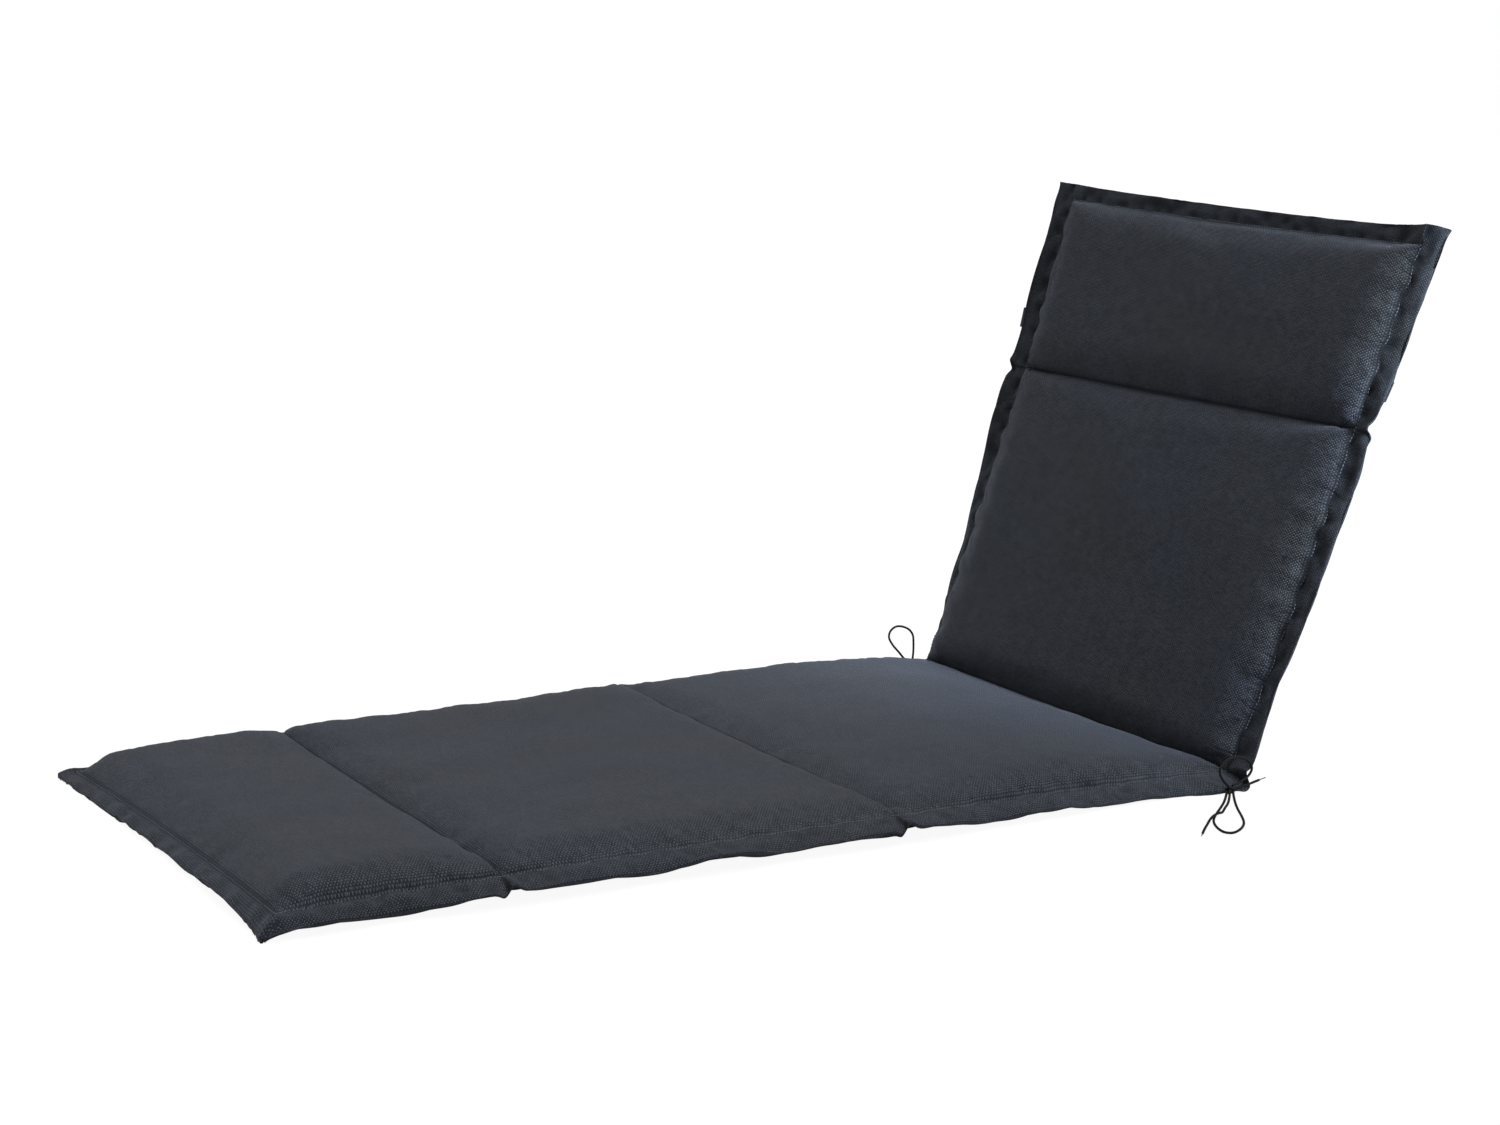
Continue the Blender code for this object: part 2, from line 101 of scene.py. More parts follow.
# Routes from the knot's foot: a long run's way ahead and aside as it lies, and up; a short run's way
# along the cushion, out from its side, and up. turn is the heading of the long runs in degrees.
LONG_LOOP = (
    (0.0048, -0.0036, 0.0048), (0.014, -0.0042, 0.0026), (0.036, -0.0060, 0.0016),
    (0.059, -0.0090, 0.0016), (0.081, -0.0126, 0.0016), (0.101, -0.0156, 0.0016),
    (0.117, -0.0166, 0.0016), (0.132, -0.0152, 0.0016), (0.146, -0.0115, 0.0016),
    (0.157, -0.0060, 0.0016), (0.160, 0.0000, 0.0016), (0.157, 0.0060, 0.0016),
    (0.146, 0.0115, 0.0016), (0.132, 0.0152, 0.0016), (0.117, 0.0166, 0.0016),
    (0.101, 0.0156, 0.0016), (0.081, 0.0126, 0.0016), (0.059, 0.0090, 0.0016),
    (0.036, 0.0064, 0.0016), (0.014, 0.0045, 0.0026), (0.0048, 0.0036, 0.0048),
)
LONG_END = (
    (0.0056, -0.0002, 0.0068), (0.013, -0.0002, 0.0065), (0.028, -0.0006, 0.0036),
    (0.043, -0.0018, 0.0017), (0.064, -0.0050, 0.0016), (0.081, -0.0074, 0.0018),
    (0.094, -0.0108, 0.0042), (0.104, -0.0142, 0.0054), (0.116, -0.0180, 0.0056),
    (0.127, -0.0210, 0.0044), (0.138, -0.0234, 0.0022), (0.152, -0.0256, 0.0016),
    (0.167, -0.0272, 0.0016), (0.181, -0.0285, 0.0016),
)
LEANING_LOOP = (
    (-0.0031, 0.0, 0.0106), (-0.0090, 0.001, 0.0150), (-0.0165, 0.0015, 0.0225),
    (-0.0195, 0.001, 0.0305), (-0.0160, 0.0, 0.0380), (-0.0065, -0.0005, 0.0430),
    (0.0055, -0.0005, 0.0445), (0.0180, -0.0005, 0.0420), (0.0280, 0.0, 0.0355),
    (0.0310, 0.001, 0.0275), (0.0250, 0.0015, 0.0195), (0.0135, 0.001, 0.0140), (0.0031, 0.0, 0.0106),
)
UPRIGHT_LOOP = (
    (-0.0031, 0.0, 0.0106), (-0.0095, 0.002, 0.0185), (-0.018, 0.004, 0.0285),
    (-0.027, 0.006, 0.0385), (-0.0325, 0.008, 0.049), (-0.029, 0.010, 0.0575),
    (-0.0195, 0.011, 0.0625), (-0.008, 0.011, 0.0615), (0.0025, 0.010, 0.0565),
    (0.0085, 0.009, 0.0485), (0.0088, 0.007, 0.038), (0.0070, 0.004, 0.0265),
    (0.0045, 0.0015, 0.0165), (0.0031, 0.0, 0.0106),
)
SHORT_END = (
    (0.0056, 0.0000, 0.0058), (0.013, 0.0005, 0.0070), (0.026, 0.0012, 0.0094),
    (0.040, 0.0010, 0.0120), (0.055, 0.0002, 0.0142),
)
Tie = namedtuple("Tie", "name side turn loop")
TIES = (Tie("tie_near", -1, 44.0, LEANING_LOOP), Tie("tie_far", 1, 66.0, UPRIGHT_LOOP))


def feed(tree, socket, value):
    """Links a formula or a socket to a socket, or sets a plain value on it."""
    if isinstance(value, Formula):
        value = value.socket
    if isinstance(value, bpy.types.NodeSocket):
        tree.links.new(value, socket)
    else:
        socket.default_value = value


def calculate(tree, operation, *values):
    """A Math node of formulas and plain numbers."""
    node = tree.nodes.new("ShaderNodeMath")
    node.operation = operation
    for socket, value in zip(node.inputs, values):
        feed(tree, socket, value)
    return Formula(tree, node.outputs[0])


class Formula:
    """A value in a node tree, so that a sum with it can be written as a sum."""

    def __init__(self, tree, socket):
        self.tree = tree
        self.socket = socket

    def then(self, operation, *values):
        return calculate(self.tree, operation, self, *values)

    def __add__(self, other):
        return self.then("ADD", other)

    def __sub__(self, other):
        return self.then("SUBTRACT", other)

    def __rsub__(self, other):
        return calculate(self.tree, "SUBTRACT", other, self)

    def __mul__(self, other):
        return self.then("MULTIPLY", other)


def new_material(name, roughness, specular, sheen, sheen_tint=(1.0, 1.0, 1.0, 1.0)):
    """A material and its shader, with what is the same all over it set on the shader."""
    material = bpy.data.materials.new(name)
    material.use_nodes = True
    shader = material.node_tree.nodes["Principled BSDF"]
    shader.inputs["Roughness"].default_value = roughness
    shader.inputs["Specular IOR Level"].default_value = specular
    shader.inputs["Sheen Weight"].default_value = sheen
    shader.inputs["Sheen Roughness"].default_value = 0.45
    shader.inputs["Sheen Tint"].default_value = sheen_tint
    return material, shader


def add_lay(tree, name):
    """Places in metres on a piece, from the map that its mesh keeps."""
    node = tree.nodes.new("ShaderNodeUVMap")
    node.uv_map = name
    return node.outputs[0]


def add_split(tree, place):
    node = tree.nodes.new("ShaderNodeSeparateXYZ")
    feed(tree, node.inputs[0], place)
    return Formula(tree, node.outputs[0]), Formula(tree, node.outputs[1])


def add_mix(tree, share, first, second):
    """A colour between two colours, each a socket or plain numbers."""
    node = tree.nodes.new("ShaderNodeMix")
    node.data_type = "RGBA"
    colours = [socket for socket in node.inputs if socket.type == "RGBA"]
    for socket, value in ((node.inputs[0], share), (colours[0], first), (colours[1], second)):
        feed(tree, socket, value)
    return next(socket for socket in node.outputs if socket.type == "RGBA")


def add_bump(tree, height, distance, strength):
    node = tree.nodes.new("ShaderNodeBump")
    node.inputs["Strength"].default_value = strength
    node.inputs["Distance"].default_value = distance
    feed(tree, node.inputs["Height"], height)
    return node.outputs["Normal"]


def braided_cord_material():
    """Two families of fine strands round the cord, laid by the cord's own length and girth."""
    material, shader = new_material(
        "tie_cord", roughness=0.65, specular=0.20, sheen=0.02, sheen_tint=(0.6, 0.62, 0.66, 1.0))
    tree = material.node_tree
    girth, length = add_split(tree, add_lay(tree, "cord_lay"))
    lay = length * (1.0 / BRAID_LAY)
    turns = 2 * math.pi * BRAID_STRANDS
    one = ((girth + lay) * turns).then("SINE")
    other = ((girth - lay) * turns).then("SINE")
    share = (one.then("MAXIMUM", other) + 1.0) * 0.5
    feed(tree, shader.inputs["Base Color"], add_mix(tree, share, CORD_DARK, CORD_LIGHT))
    feed(tree, shader.inputs["Normal"], add_bump(tree, share, distance=0.00025, strength=0.8))
    return material


CORD_FINISH = braided_cord_material()


def new_piece(name, positions, faces, lay_name=None, lay=None):
    """A smooth object of a mesh, which keeps each face corner's place on the cord or cloth as a map."""
    mesh = bpy.data.meshes.new(name)
    mesh.from_pydata(positions, [], faces)
    if lay_name:
        layer = mesh.uv_layers.new(name=lay_name)
        layer.data.foreach_set("uv", np.array(lay, np.float32).ravel())
    mesh.shade_smooth()
    piece = bpy.data.objects.new(name, mesh)
    bpy.context.scene.collection.objects.link(piece)
    return piece


def ring_faces(rings, size, closed=False, flip=False, base=0):
    """Faces of a tube, from each ring of its points to the next."""
    faces = []
    for k in range(rings if closed else rings - 1):
        own, further = base + k * size, base + (k + 1) % rings * size
        for j in range(size):
            after = (j + 1) % size
            a, b, c, d = own + j, own + after, further + after, further + j
            faces.append((a, d, c, b) if flip else (a, b, c, d))
    return faces


def smooth_points(route, spacing):
    """Points evenly spaced along a smooth curve through a route's points, and the curve's length."""
    ends = [route[0] * 2 - route[1], *route, route[-1] * 2 - route[-2]]
    fine = []
    for before, first, second, after in zip(ends, ends[1:], ends[2:], ends[3:]):
        for step in range(CURVE_STEPS):
            t = step / CURVE_STEPS
            spot = first * 2 + (second - before) * t
            spot = spot + (before * 2 - first * 5 + second * 4 - after) * t ** 2
            spot = spot + (first * 3 - before - second * 3 + after) * t ** 3
            fine.append(spot / 2)
    fine.append(route[-1])
    steps = np.array([(b - a).length for a, b in zip(fine, fine[1:])])
    lengths = np.concatenate([[0.0], np.cumsum(steps)])
    count = max(4, round(lengths[-1] / spacing))
    goals = np.linspace(0.0, lengths[-1], count + 1)
    coordinates = np.array(fine)
    spots = np.stack([np.interp(goals, lengths, coordinates[:, axis]) for axis in range(3)], axis=1)
    return [Vector(spot) for spot in spots], float(lengths[-1])


def strand_height(share, run):
    """How high the braid's strands stand, from -1 to 1, round the cord and along it."""
    turns = 2 * math.pi * BRAID_STRANDS
    return max(math.sin(turns * (share + way * run / BRAID_LAY)) for way in (1, -1))


def cord_mesh(name, points, radii, closed=False):
    """A tube along points, with the braid's strands raised on it and its lay kept as a map."""
    count = len(points)
    positions, lays = [], []
    side = Vector((0.0, 0.0, 1.0))
    run = 0.0
    for k, (point, radius) in enumerate(zip(points, radii)):
        if closed:
            direction = (points[(k + 1) % count] - points[k - 1]).normalized()
        else:
            direction = (points[min(k + 1, count - 1)] - points[max(k - 1, 0)]).normalized()
        side = (side - direction * side.dot(direction)).normalized()
        other = direction.cross(side)
        if k:
            run += (point - points[k - 1]).length
        for j in range(CORD_SIDES):
            share = j / CORD_SIDES
            angle = 2 * math.pi * share
            reach = radius * (1 - BRAID_RELIEF * (1 - strand_height(share, run)) / 2)
            positions.append(point + (side * math.cos(angle) + other * math.sin(angle)) * reach)
        lays.append(run)
    faces, uvs = ring_faces(count, CORD_SIDES, closed), []
    for k in range(count if closed else count - 1):
        after = (k + 1) % count
        v0, v1 = lays[k], lays[k] + CORD_PITCH if after == 0 else lays[after]
        for j in range(CORD_SIDES):
            u0, u1 = j / CORD_SIDES, (j + 1) / CORD_SIDES
            uvs += [(u0, v0), (u1, v0), (u1, v1), (u0, v1)]
    if not closed:
        for start, flip in ((0, True), ((count - 1) * CORD_SIDES, False)):
            cap = list(range(start, start + CORD_SIDES))
            faces.append(tuple(reversed(cap)) if flip else tuple(cap))
            uvs += [(0.0, lays[0] if flip else lays[-1])] * CORD_SIDES
    piece = new_piece(name, positions, faces, "cord_lay", uvs)
    piece.data.materials.append(CORD_FINISH)
    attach(piece, "root")
    return piece


def lay_cord(name, route, node, knot, far_end):
    """One run of the cord from the knot, which ends in the knot again or narrows to a sealed tip."""
    points, length = smooth_points(route, CORD_PITCH)
    radii = [CORD / 2] * len(points)
    if far_end == "bare":
        for k in range(len(points)):
            left = length * (1 - k / (len(points) - 1))
            share = min(1.0, max(0.0, (left - TIP_LENGTH + TIP_TAPER) / TIP_TAPER))
            radii[k] = TIP / 2 + (CORD - TIP) / 2 * share
    piece = cord_mesh(name, points, radii)
    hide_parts(node)
    [knot] if far_end == "knot" else []
    return piece


def tie_knot(name, middle, node):
    """The bow's knot: the cord wound tightly through itself into a lump."""
    inner = KNOT_HALF - Vector((CORD, CORD, CORD)) / 2 * KNOT_SUNK
    points = []
    for k in range(KNOT_RINGS):
        angle = 2 * math.pi * k / KNOT_RINGS
        wind = (2 + math.cos(3 * angle)) / 3
        shape = Vector((wind * math.cos(2 * angle), math.sin(3 * angle), wind * math.sin(2 * angle)))
        points.append(middle + Vector(reach * value for reach, value in zip(inner, shape)))
    piece = cord_mesh(name, points, [CORD / 2 * KNOT_PULLED] * KNOT_RINGS, closed=True)
    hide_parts(node)
    return piece


def lying_spot(tie, foot, ahead, aside, up):
    """A point of a long run, turned to the tie's heading and mirrored to its side."""
    turn = math.radians(tie.turn)
    along = aside * math.cos(turn) - ahead * math.sin(turn)
    out = aside * math.sin(turn) + ahead * math.cos(turn)
    return foot + Vector((along, tie.side * out, up))


def tie_bow(tie):
    """A tie's knot and the four runs of its cord, where the solids have them."""
    low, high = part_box(tie.name + "_knot")
    foot = Vector(((low[0] + high[0]) / 2, (low[1] + high[1]) / 2, 0.0))
    side = tie.name[3:]
    knot = tie_knot("bow_knot" + side, foot + Vector((0.0, 0.0, KNOT_MIDDLE)), tie.name + "_knot")
    runs = [(part, [lying_spot(tie, foot, *point) for point in route])
            for part, route in (("long_loop", LONG_LOOP), ("long_end", LONG_END))]
    runs += [(part, [foot + Vector((along, tie.side * out, up)) for along, out, up in route])
             for part, route in (("short_loop", tie.loop), ("short_end", SHORT_END))]
    for part, spots in runs:
        far_end = "knot" if part.endswith("loop") else "bare"
        lay_cord(part + side, spots, f"{tie.name}_{part}", knot, far_end)


for tie in TIES:
    tie_bow(tie)


# The padded cushion
# Two covers of woven polyester, sewn together round a layer of soft wadding and across it in four
# channels, so that it folds. The padding pushes the covers out between the seams, and outside the
# side seam the two covers make a flat flange with its edge turned in.

CLOTH = 0.0026              # thickness of the flange: two covers, turned in
FOOT_HEIGHT = 0.013         # of the first sewn line above the floor
PINCH, PINCH_REACH = 0.14, 0.014    # how much narrower the flange is at a channel
BEND = 0.014                # distance from a line over which the slope eases
FLOOR_GAP = 0.0004
SEAM_START = (0.024, 0.72)  # reach of the slope on the head side of a channel, and how steeply it
SEAM_END = (0.0125, 0.50)   # rises there: less is steeper. Then the same on the channel's foot side,
FOOT_SEAM = (0.046, 0.60)   # at the foot end and at the two sides.
SIDE_SEAM = (0.031, 0.66)
FIRST_FILL = 0.96           # share of the crown before the covers are blown up

# The sewn lines from foot to head. panel is the padded length before the line and pitch its slope in
# degrees. Each half is from the middle to that side's stitch line, each rim the flange's width there,
# along a shift up the cushion and lift a shift off its face, all at the near and at the far side.
Line = namedtuple("Line", "name panel pitch near_half near_rim near_along near_lift "
                          "far_half far_rim far_along far_lift")
LINES = (
    Line("foot", 0.000, 2.65, 0.2915, 0.019, -0.001, 0.009, 0.2900, 0.009, 0.005, -0.007),
    Line("shin", 0.238, 2.65, 0.2960, 0.024, -0.007, 0.002, 0.2900, 0.023, 0.008, -0.001),
    Line("knee", 0.469, 0.61, 0.2990, 0.025, -0.003, -0.003, 0.2990, 0.025, 0.001, 0.0025),
    Line("fold", 0.485, -1.30, 0.2920, 0.024, -0.001, -0.004, 0.2980, 0.019, 0.001, 0.0015),
    Line("shoulder", 0.425, 69.0, 0.3000, 0.024, 0.001, -0.004, 0.3015, 0.030, -0.0025, 0.0035),
    Line("head", 0.231, 72.4, 0.3110, 0.023, -0.002, -0.007, 0.3060, 0.028, 0.005, 0.0095),
)
AT_FOLD = 3
TAB, TAB_REACH = 0.017, (0.060, 0.042)      # the near flange's small corner beside the fold
DIP, DIP_PLACE, DIP_REACH = 0.006, 0.105, 0.035     # and where it is narrower above that

# The padded panels between those lines. upper and upper_end are the crown at the panel's start and
# end, hump what it has more between them, lean how far that sits toward the head, and near_more what
# the near side has more. lower is the padding below, none where the panel lies on the floor. bow is
# how far the panel bows off the straight and drawn how far its sides are drawn in. Then comes how far
# the flange's rim hangs (minus) or curls up (plus) at the panel's start and end, near and far.
Panel = namedtuple("Panel", "name upper upper_end hump lean near_more lower bow drawn "
                            "near_start near_end far_start far_end")
PANELS = (
    Panel("calf", 0.0185, 0.0095, 0.0090, 1.0, 0.0035, None, 0.0, 0.003, -0.015, -0.011, -0.004, -0.014),
    Panel("thigh", 0.0140, 0.0075, 0.0025, 1.0, 0.0035, None, 0.0, 0.003, -0.010, -0.011, -0.014, -0.016),
    Panel("seat", 0.0045, 0.0020, 0.0155, 1.3, 0.0070, None, 0.0, 0.003, -0.010, -0.014, -0.016, -0.012),
    Panel("back", 0.0130, 0.0130, 0.0050, 1.0, 0.0, 0.020, -0.006, -0.003, 0.002, -0.006, -0.019, 0.009),
    Panel("headrest", 0.0125, 0.0125, 0.0045, 1.0, 0.0, 0.019, 0.0, 0.001, -0.003, -0.013, 0.007, 0.004),
)

# The flange past the first and the last line: its width near, in the middle and far, how far the
# stitch line bows in at the middle, how far the rim hangs there, how much of the side flange's width
# reaches the corner, and the share of its own width that is cut off there.
End = namedtuple("End", "near middle far bow hang corner cut")
FOOT_END = End(0.0265, 0.0185, 0.0200, 0.006, 0.0080, 0.80, 0.32)
HEAD_END = End(0.0262, 0.0204, 0.0220, 0.003, 0.0, 1.20, 0.0)
BOW_REACH = 0.090           # length of an end panel over which its stitch line bows in
Wave = namedtuple("Wave", "length size start")      # of the wander of a rim or a side seam
RIM_WAVES = (Wave(0.143, 0.0016, 0.3), Wave(0.227, 0.0022, 1.9))
SEAM_WAVES = (Wave(0.037, 0.0016, 0.7), Wave(0.059, 0.0014, 2.2))
CALM_REACH = 0.020          # near a channel the side seam is held straight
RIM_ROUND = 0.4             # how much of the flange's bend is round, not even
HANG_CURVE = 1.5            # how late across the flange its rim hangs or curls
MOST_CURL = 0.9             # share of its width that a side flange can hang or curl
MOST_HANG = 0.85            # and an end flange
CORNER_CURVE = 2.5          # how late along a corner its width changes
OUTER_CURVE = 7             # how close to the side seams the end flange changes its width
CUT_CURVE = 4               # how close to the corner it is cut off

# The mesh of the covers: distances from a line at which its first rows lie, and the pitch of the
# others; the same for the columns from the side seams; the columns of the flange as shares of its
# width, and its thickness at such shares as shares of the cloth.
ROW_STEPS = (0.0013, 0.0035, 0.0070, 0.0125, 0.021, 0.034)
ROW_PITCH = 0.0115
COLUMN_STEPS = (0.0025, 0.006, 0.011, 0.018, 0.027, 0.039)
COLUMN_PITCH = 0.0205
FLANGE_SHARES = (0.08, 0.22, 0.40, 0.58, 0.75, 0.88, 0.96, 1.0)
HEM_PROFILE = ((0.0, 0.62), (0.08, 0.80), (0.22, 1.0), (0.75, 1.0), (0.96, 0.90), (1.0, 0.35))


def between(first, second, share):
    return first + (second - first) * share


def even_places(length, steps, pitch):
    """Distances from 0 to length, close together at both ends and even between."""
    inner = length - 2 * steps[-1]
    count = max(1, round(inner / pitch))
    middle = [steps[-1] + inner * k / count for k in range(count + 1)]
    return [0.0, *steps[:-1], *middle, *[length - step for step in reversed(steps[:-1])], length]


def swell(distance, reach, roundness):
    """Share of its full height that the padding has at a distance from a seam."""
    return (1.0 - (1.0 - min(distance / reach, 1.0)) ** 2) ** roundness


def wander(waves, along, side):
    return sum(wave.size * math.sin(2 * math.pi * along / wave.length + wave.start + side) for wave in waves)


def slope(pitch):
    angle = math.radians(pitch)
    return Vector((math.cos(angle), 0.0, math.sin(angle)))


def face_normal(pitch):
    angle = math.radians(pitch)
    return Vector((-math.sin(angle), 0.0, math.cos(angle)))

def bell(distance, reach):
    """1 at no distance, and close to nothing past twice the reach."""
    return math.exp(-(distance / reach) ** 2)


def seam_ends():
    """The near and far end of each sewn line."""
    spots = [Vector((0.0, 0.0, FOOT_HEIGHT))]
    for line in LINES[1:]:
        spots.append(spots[-1] + slope(line.pitch) * line.panel)
    shift = Vector((FOLD.x - spots[AT_FOLD].x, FOLD.y, 0.0))
    return [[spot + shift + slope(line.pitch) * along + face_normal(line.pitch) * lift
             for along, lift in ((line.near_along, line.near_lift), (line.far_along, line.far_lift))]
            for line, spot in zip(LINES, spots)]


ENDS = seam_ends()
RUN = sum(line.panel for line in LINES)
SEAM_RUNS = np.cumsum([line.panel for line in LINES])
LAY_HALF = (LINES[AT_FOLD].near_half + LINES[AT_FOLD].far_half) / 2     # of the cover on its lay


def pitch_at(index, distance):
    """Slope of the covers at a distance up a panel, eased over each seam."""
    own, length = LINES[index + 1].pitch, LINES[index + 1].panel
    before = LINES[index].pitch if index > 0 else own
    after = LINES[index + 2].pitch if index + 2 < len(LINES) else own
    if distance < BEND:
        return between((before + own) / 2, own, distance / BEND)
    if length - distance < BEND:
        return between((after + own) / 2, own, (length - distance) / BEND)
    return own


def hem_thickness(share):
    """Thickness of the flange's two covers at a share of its width, with a rounded rim."""
    for (start, first), (end, last) in zip(HEM_PROFILE, HEM_PROFILE[1:]):
        if share <= end:
            return CLOTH * between(first, last, (share - start) / (end - start))
    return CLOTH * HEM_PROFILE[-1][1]


class CrossSection:
    """The cushion cut across, at a distance up one of its panels."""

    def __init__(self, index, distance):
        low, high = LINES[index], LINES[index + 1]
        share = distance / high.panel
        self.panel, self.length, self.distance = PANELS[index], high.panel, distance
        self.run = sum(line.panel for line in LINES[:index + 1]) + distance
        self.near = between(ENDS[index][0], ENDS[index + 1][0], share)
        self.far = between(ENDS[index][1], ENDS[index + 1][1], share)
        drawn = self.panel.drawn * 4 * share * (1 - share)
        calm = min(1.0, distance / CALM_REACH, (high.panel - distance) / CALM_REACH)
        self.puckers = [wander(SEAM_WAVES, self.run, side) * calm for side in (-1, 1)]
        self.near_y = FOLD.y + drawn - between(low.near_half, high.near_half, share) + self.puckers[0]
        self.far_y = FOLD.y + between(low.far_half, high.far_half, share) - drawn + self.puckers[1]
        self.half = (self.far_y - self.near_y) / 2
        self.from_line = min(distance, high.panel - distance)
        self.on_line = self.from_line < 1e-6
        self.pitch = pitch_at(index, distance)
        self.normal = face_normal(self.pitch)
        self.bow = self.panel.bow * 27 / 4 * share * (1 - share) ** 2
        gather = 1 - PINCH * bell(self.from_line, PINCH_REACH)
        if self.run < PINCH_REACH or self.run > RUN - PINCH_REACH:
            gather = 1.0
        tab = 0.0
        if index == AT_FOLD - 1:
            tab = TAB * bell(high.panel - distance, TAB_REACH[0])
        if index == AT_FOLD:
            tab = TAB * bell(distance, TAB_REACH[1]) - DIP * bell(distance - DIP_PLACE, DIP_REACH)
        self.rims = (between(low.near_rim, high.near_rim, share) * gather + tab,
                     between(low.far_rim, high.far_rim, share) * gather)
        self.edges = (between(self.panel.near_start, self.panel.near_end, share) * gather,
                      between(self.panel.far_start, self.panel.far_end, share) * gather)
        self.draw = 0.0
        if index == 0:
            self.draw = FOOT_END.bow * (1 - min(distance / BOW_REACH, 1.0)) ** 2
        if index == len(PANELS) - 1:
            self.draw = -HEAD_END.bow * (1 - min((high.panel - distance) / BOW_REACH, 1.0)) ** 2

    def middle(self, across):
        """The point between the two covers, across from -1 at the near seam to 1 at the far one."""
        spot = between(self.near, self.far, (across + 1) / 2)
        spot.y = between(self.near_y, self.far_y, (across + 1) / 2)
        return spot + self.normal * self.bow + slope(self.pitch) * self.draw * (1 - across * across)

    def fullness(self, across):
        side = swell((1 - abs(across)) * self.half, *SIDE_SEAM)
        start = swell(self.distance, *(FOOT_SEAM if self.panel is PANELS[0] else SEAM_START))
        return side * start * swell(self.length - self.distance, *SEAM_END)

    def top(self, across):
        """A point of the upper cover, before it is blown up."""
        share, lean, panel = self.distance / self.length, self.panel.lean, self.panel
        most = (lean / (lean + 1)) ** lean / (lean + 1)
        height = between(panel.upper, panel.upper_end, share)
        height += panel.hump * share ** lean * (1 - share) / most + panel.near_more * (1 - across) / 2
        crown = height * self.fullness(across) * FIRST_FILL
        return self.middle(across) + self.normal * (CLOTH / 2 * HEM_PROFILE[0][1] + crown)

    def bottom(self, across):
        middle, full = self.middle(across), self.fullness(across)
        thin = CLOTH / 2 * HEM_PROFILE[0][1]
        if self.panel.lower is None:
            return Vector((middle.x, middle.y, max(middle.z - between(thin, middle.z, full), 0.0)))
        return middle - self.normal * (thin + self.panel.lower * full * FIRST_FILL)

    def flange(self, side, share):
        """The flange's middle at a share of its width, side -1 near or 1 far."""
        stitch = self.middle(side)
        rim = self.rims[0 if side < 0 else 1]
        edge = self.edges[0 if side < 0 else 1] + wander(RIM_WAVES, self.run, side)
        edge = max(edge, (CLOTH / 2 + FLOOR_GAP - stitch.z) / self.normal.z, -MOST_CURL * rim)
        reach = math.sqrt(rim ** 2 - edge ** 2)
        out = reach * between(share, math.sin(math.pi / 2 * share), RIM_ROUND)
        pucker = self.puckers[0 if side < 0 else 1]
        spot = stitch + Vector((0.0, side * out - pucker * share, 0.0))
        return spot + self.normal * edge * share ** HANG_CURVE

    def covers(self, side_share=1.0):
        """Pairs of points on the upper and lower cover, from the near rim to the far rim."""
        pairs = []
        for side, across in COLUMNS:
            if abs(across) > 1:
                share = abs(across) - 1
                spot = self.flange(side, share * side_share)
                thick = self.normal * hem_thickness(share) / 2
                pairs.append((spot + thick, spot - thick))
            else:
                pairs.append((self.top(across), self.bottom(across)))
        return pairs


def column_places():
    """The side and place of each column: within 1 between the seams, past it on the flange."""
    whole = 2 * LAY_HALF
    inner = [2 * distance / whole - 1 for distance in even_places(whole, COLUMN_STEPS, COLUMN_PITCH)]
    return ([(-1, -1 - share) for share in reversed(FLANGE_SHARES)] + [(-1 if a < 0 else 1, a) for a in inner]
            + [(1, 1 + share) for share in FLANGE_SHARES])


COLUMNS = column_places()


def end_strips(section, end, outward):
    """The flange past the first or the last seam, which hangs as far as the floor lets it."""
    along = slope(section.pitch) * outward
    strips = []
    for share in FLANGE_SHARES:
        pairs = []
        thick = section.normal * hem_thickness(share) / 2
        covers = section.covers(between(1.0, end.corner, share ** CORNER_CURVE))
        for (side, across), (upper, lower) in zip(COLUMNS, covers):
            middle = (upper + lower) / 2
            outer = min(abs(across), 1.0) ** OUTER_CURVE
            width = between(end.middle, end.near if side < 0 else end.far, outer)
            width *= 1 - end.cut * max(0.0, abs(across) - 1) ** CUT_CURVE
            drop = 0.0
            if section.panel.lower is None:
                floor = middle.z - CLOTH / 2 - FLOOR_GAP + along.z * width
                drop = between(end.hang + wander(RIM_WAVES, across * section.half, 1), floor, outer)
                drop = max(0.0, min(drop, floor, MOST_HANG * width))
            reach = math.sqrt(width ** 2 - drop ** 2)
            spot = middle + along * reach * share - section.normal * drop * share ** HANG_CURVE
            slim = min(1.0, hem_thickness(abs(across) - 1) / CLOTH) if abs(across) > 1 else 1.0
            pairs.append((spot + thick * slim, spot - thick * slim))
        strips.append((pairs, section.run + outward * width * share, "end"))
    return strips


def padded_sections():
    """The cross-sections from the first sewn line to the last, closest near the lines."""
    sections = []
    for index in range(len(PANELS)):
        places = even_places(LINES[index + 1].panel, ROW_STEPS, ROW_PITCH)
        sections += [CrossSection(index, distance) for distance in places[1 if index else 0:]]
    return sections


def cushion_strips():
    """Every strip of the two covers from foot to head: its points, its run and its kind."""
    sections = padded_sections()
    strips = list(reversed(end_strips(sections[0], FOOT_END, -1)))
    for section in sections:
        kind = "seam" if section.on_line else section.panel.name
        strips.append((section.covers(), section.run, kind))
    return strips + end_strips(sections[-1], HEAD_END, 1)


FLANGE_LAY = 0.025          # the flange's width on the cloth's lay
LOWER_LAY = 2.0             # how far beside the upper cover's lay the lower one's is


def corner_places(places, faces):
    """The place of each corner of each face, from those of the points."""
    return np.array(places, np.float32)[[index for face in faces for index in face]]


def end_faces(rings, size, flips):
    """Faces that close the two ends of a flat tube, each from its upper to its lower points."""
    faces = []
    for start, flip in zip((0, (rings - 1) * size), flips):
        for k in range(size // 2 - 1):
            face = (start + k, start + k + 1, start + size - 2 - k, start + size - 1 - k)
            faces.append(tuple(reversed(face)) if flip else face)
    return faces


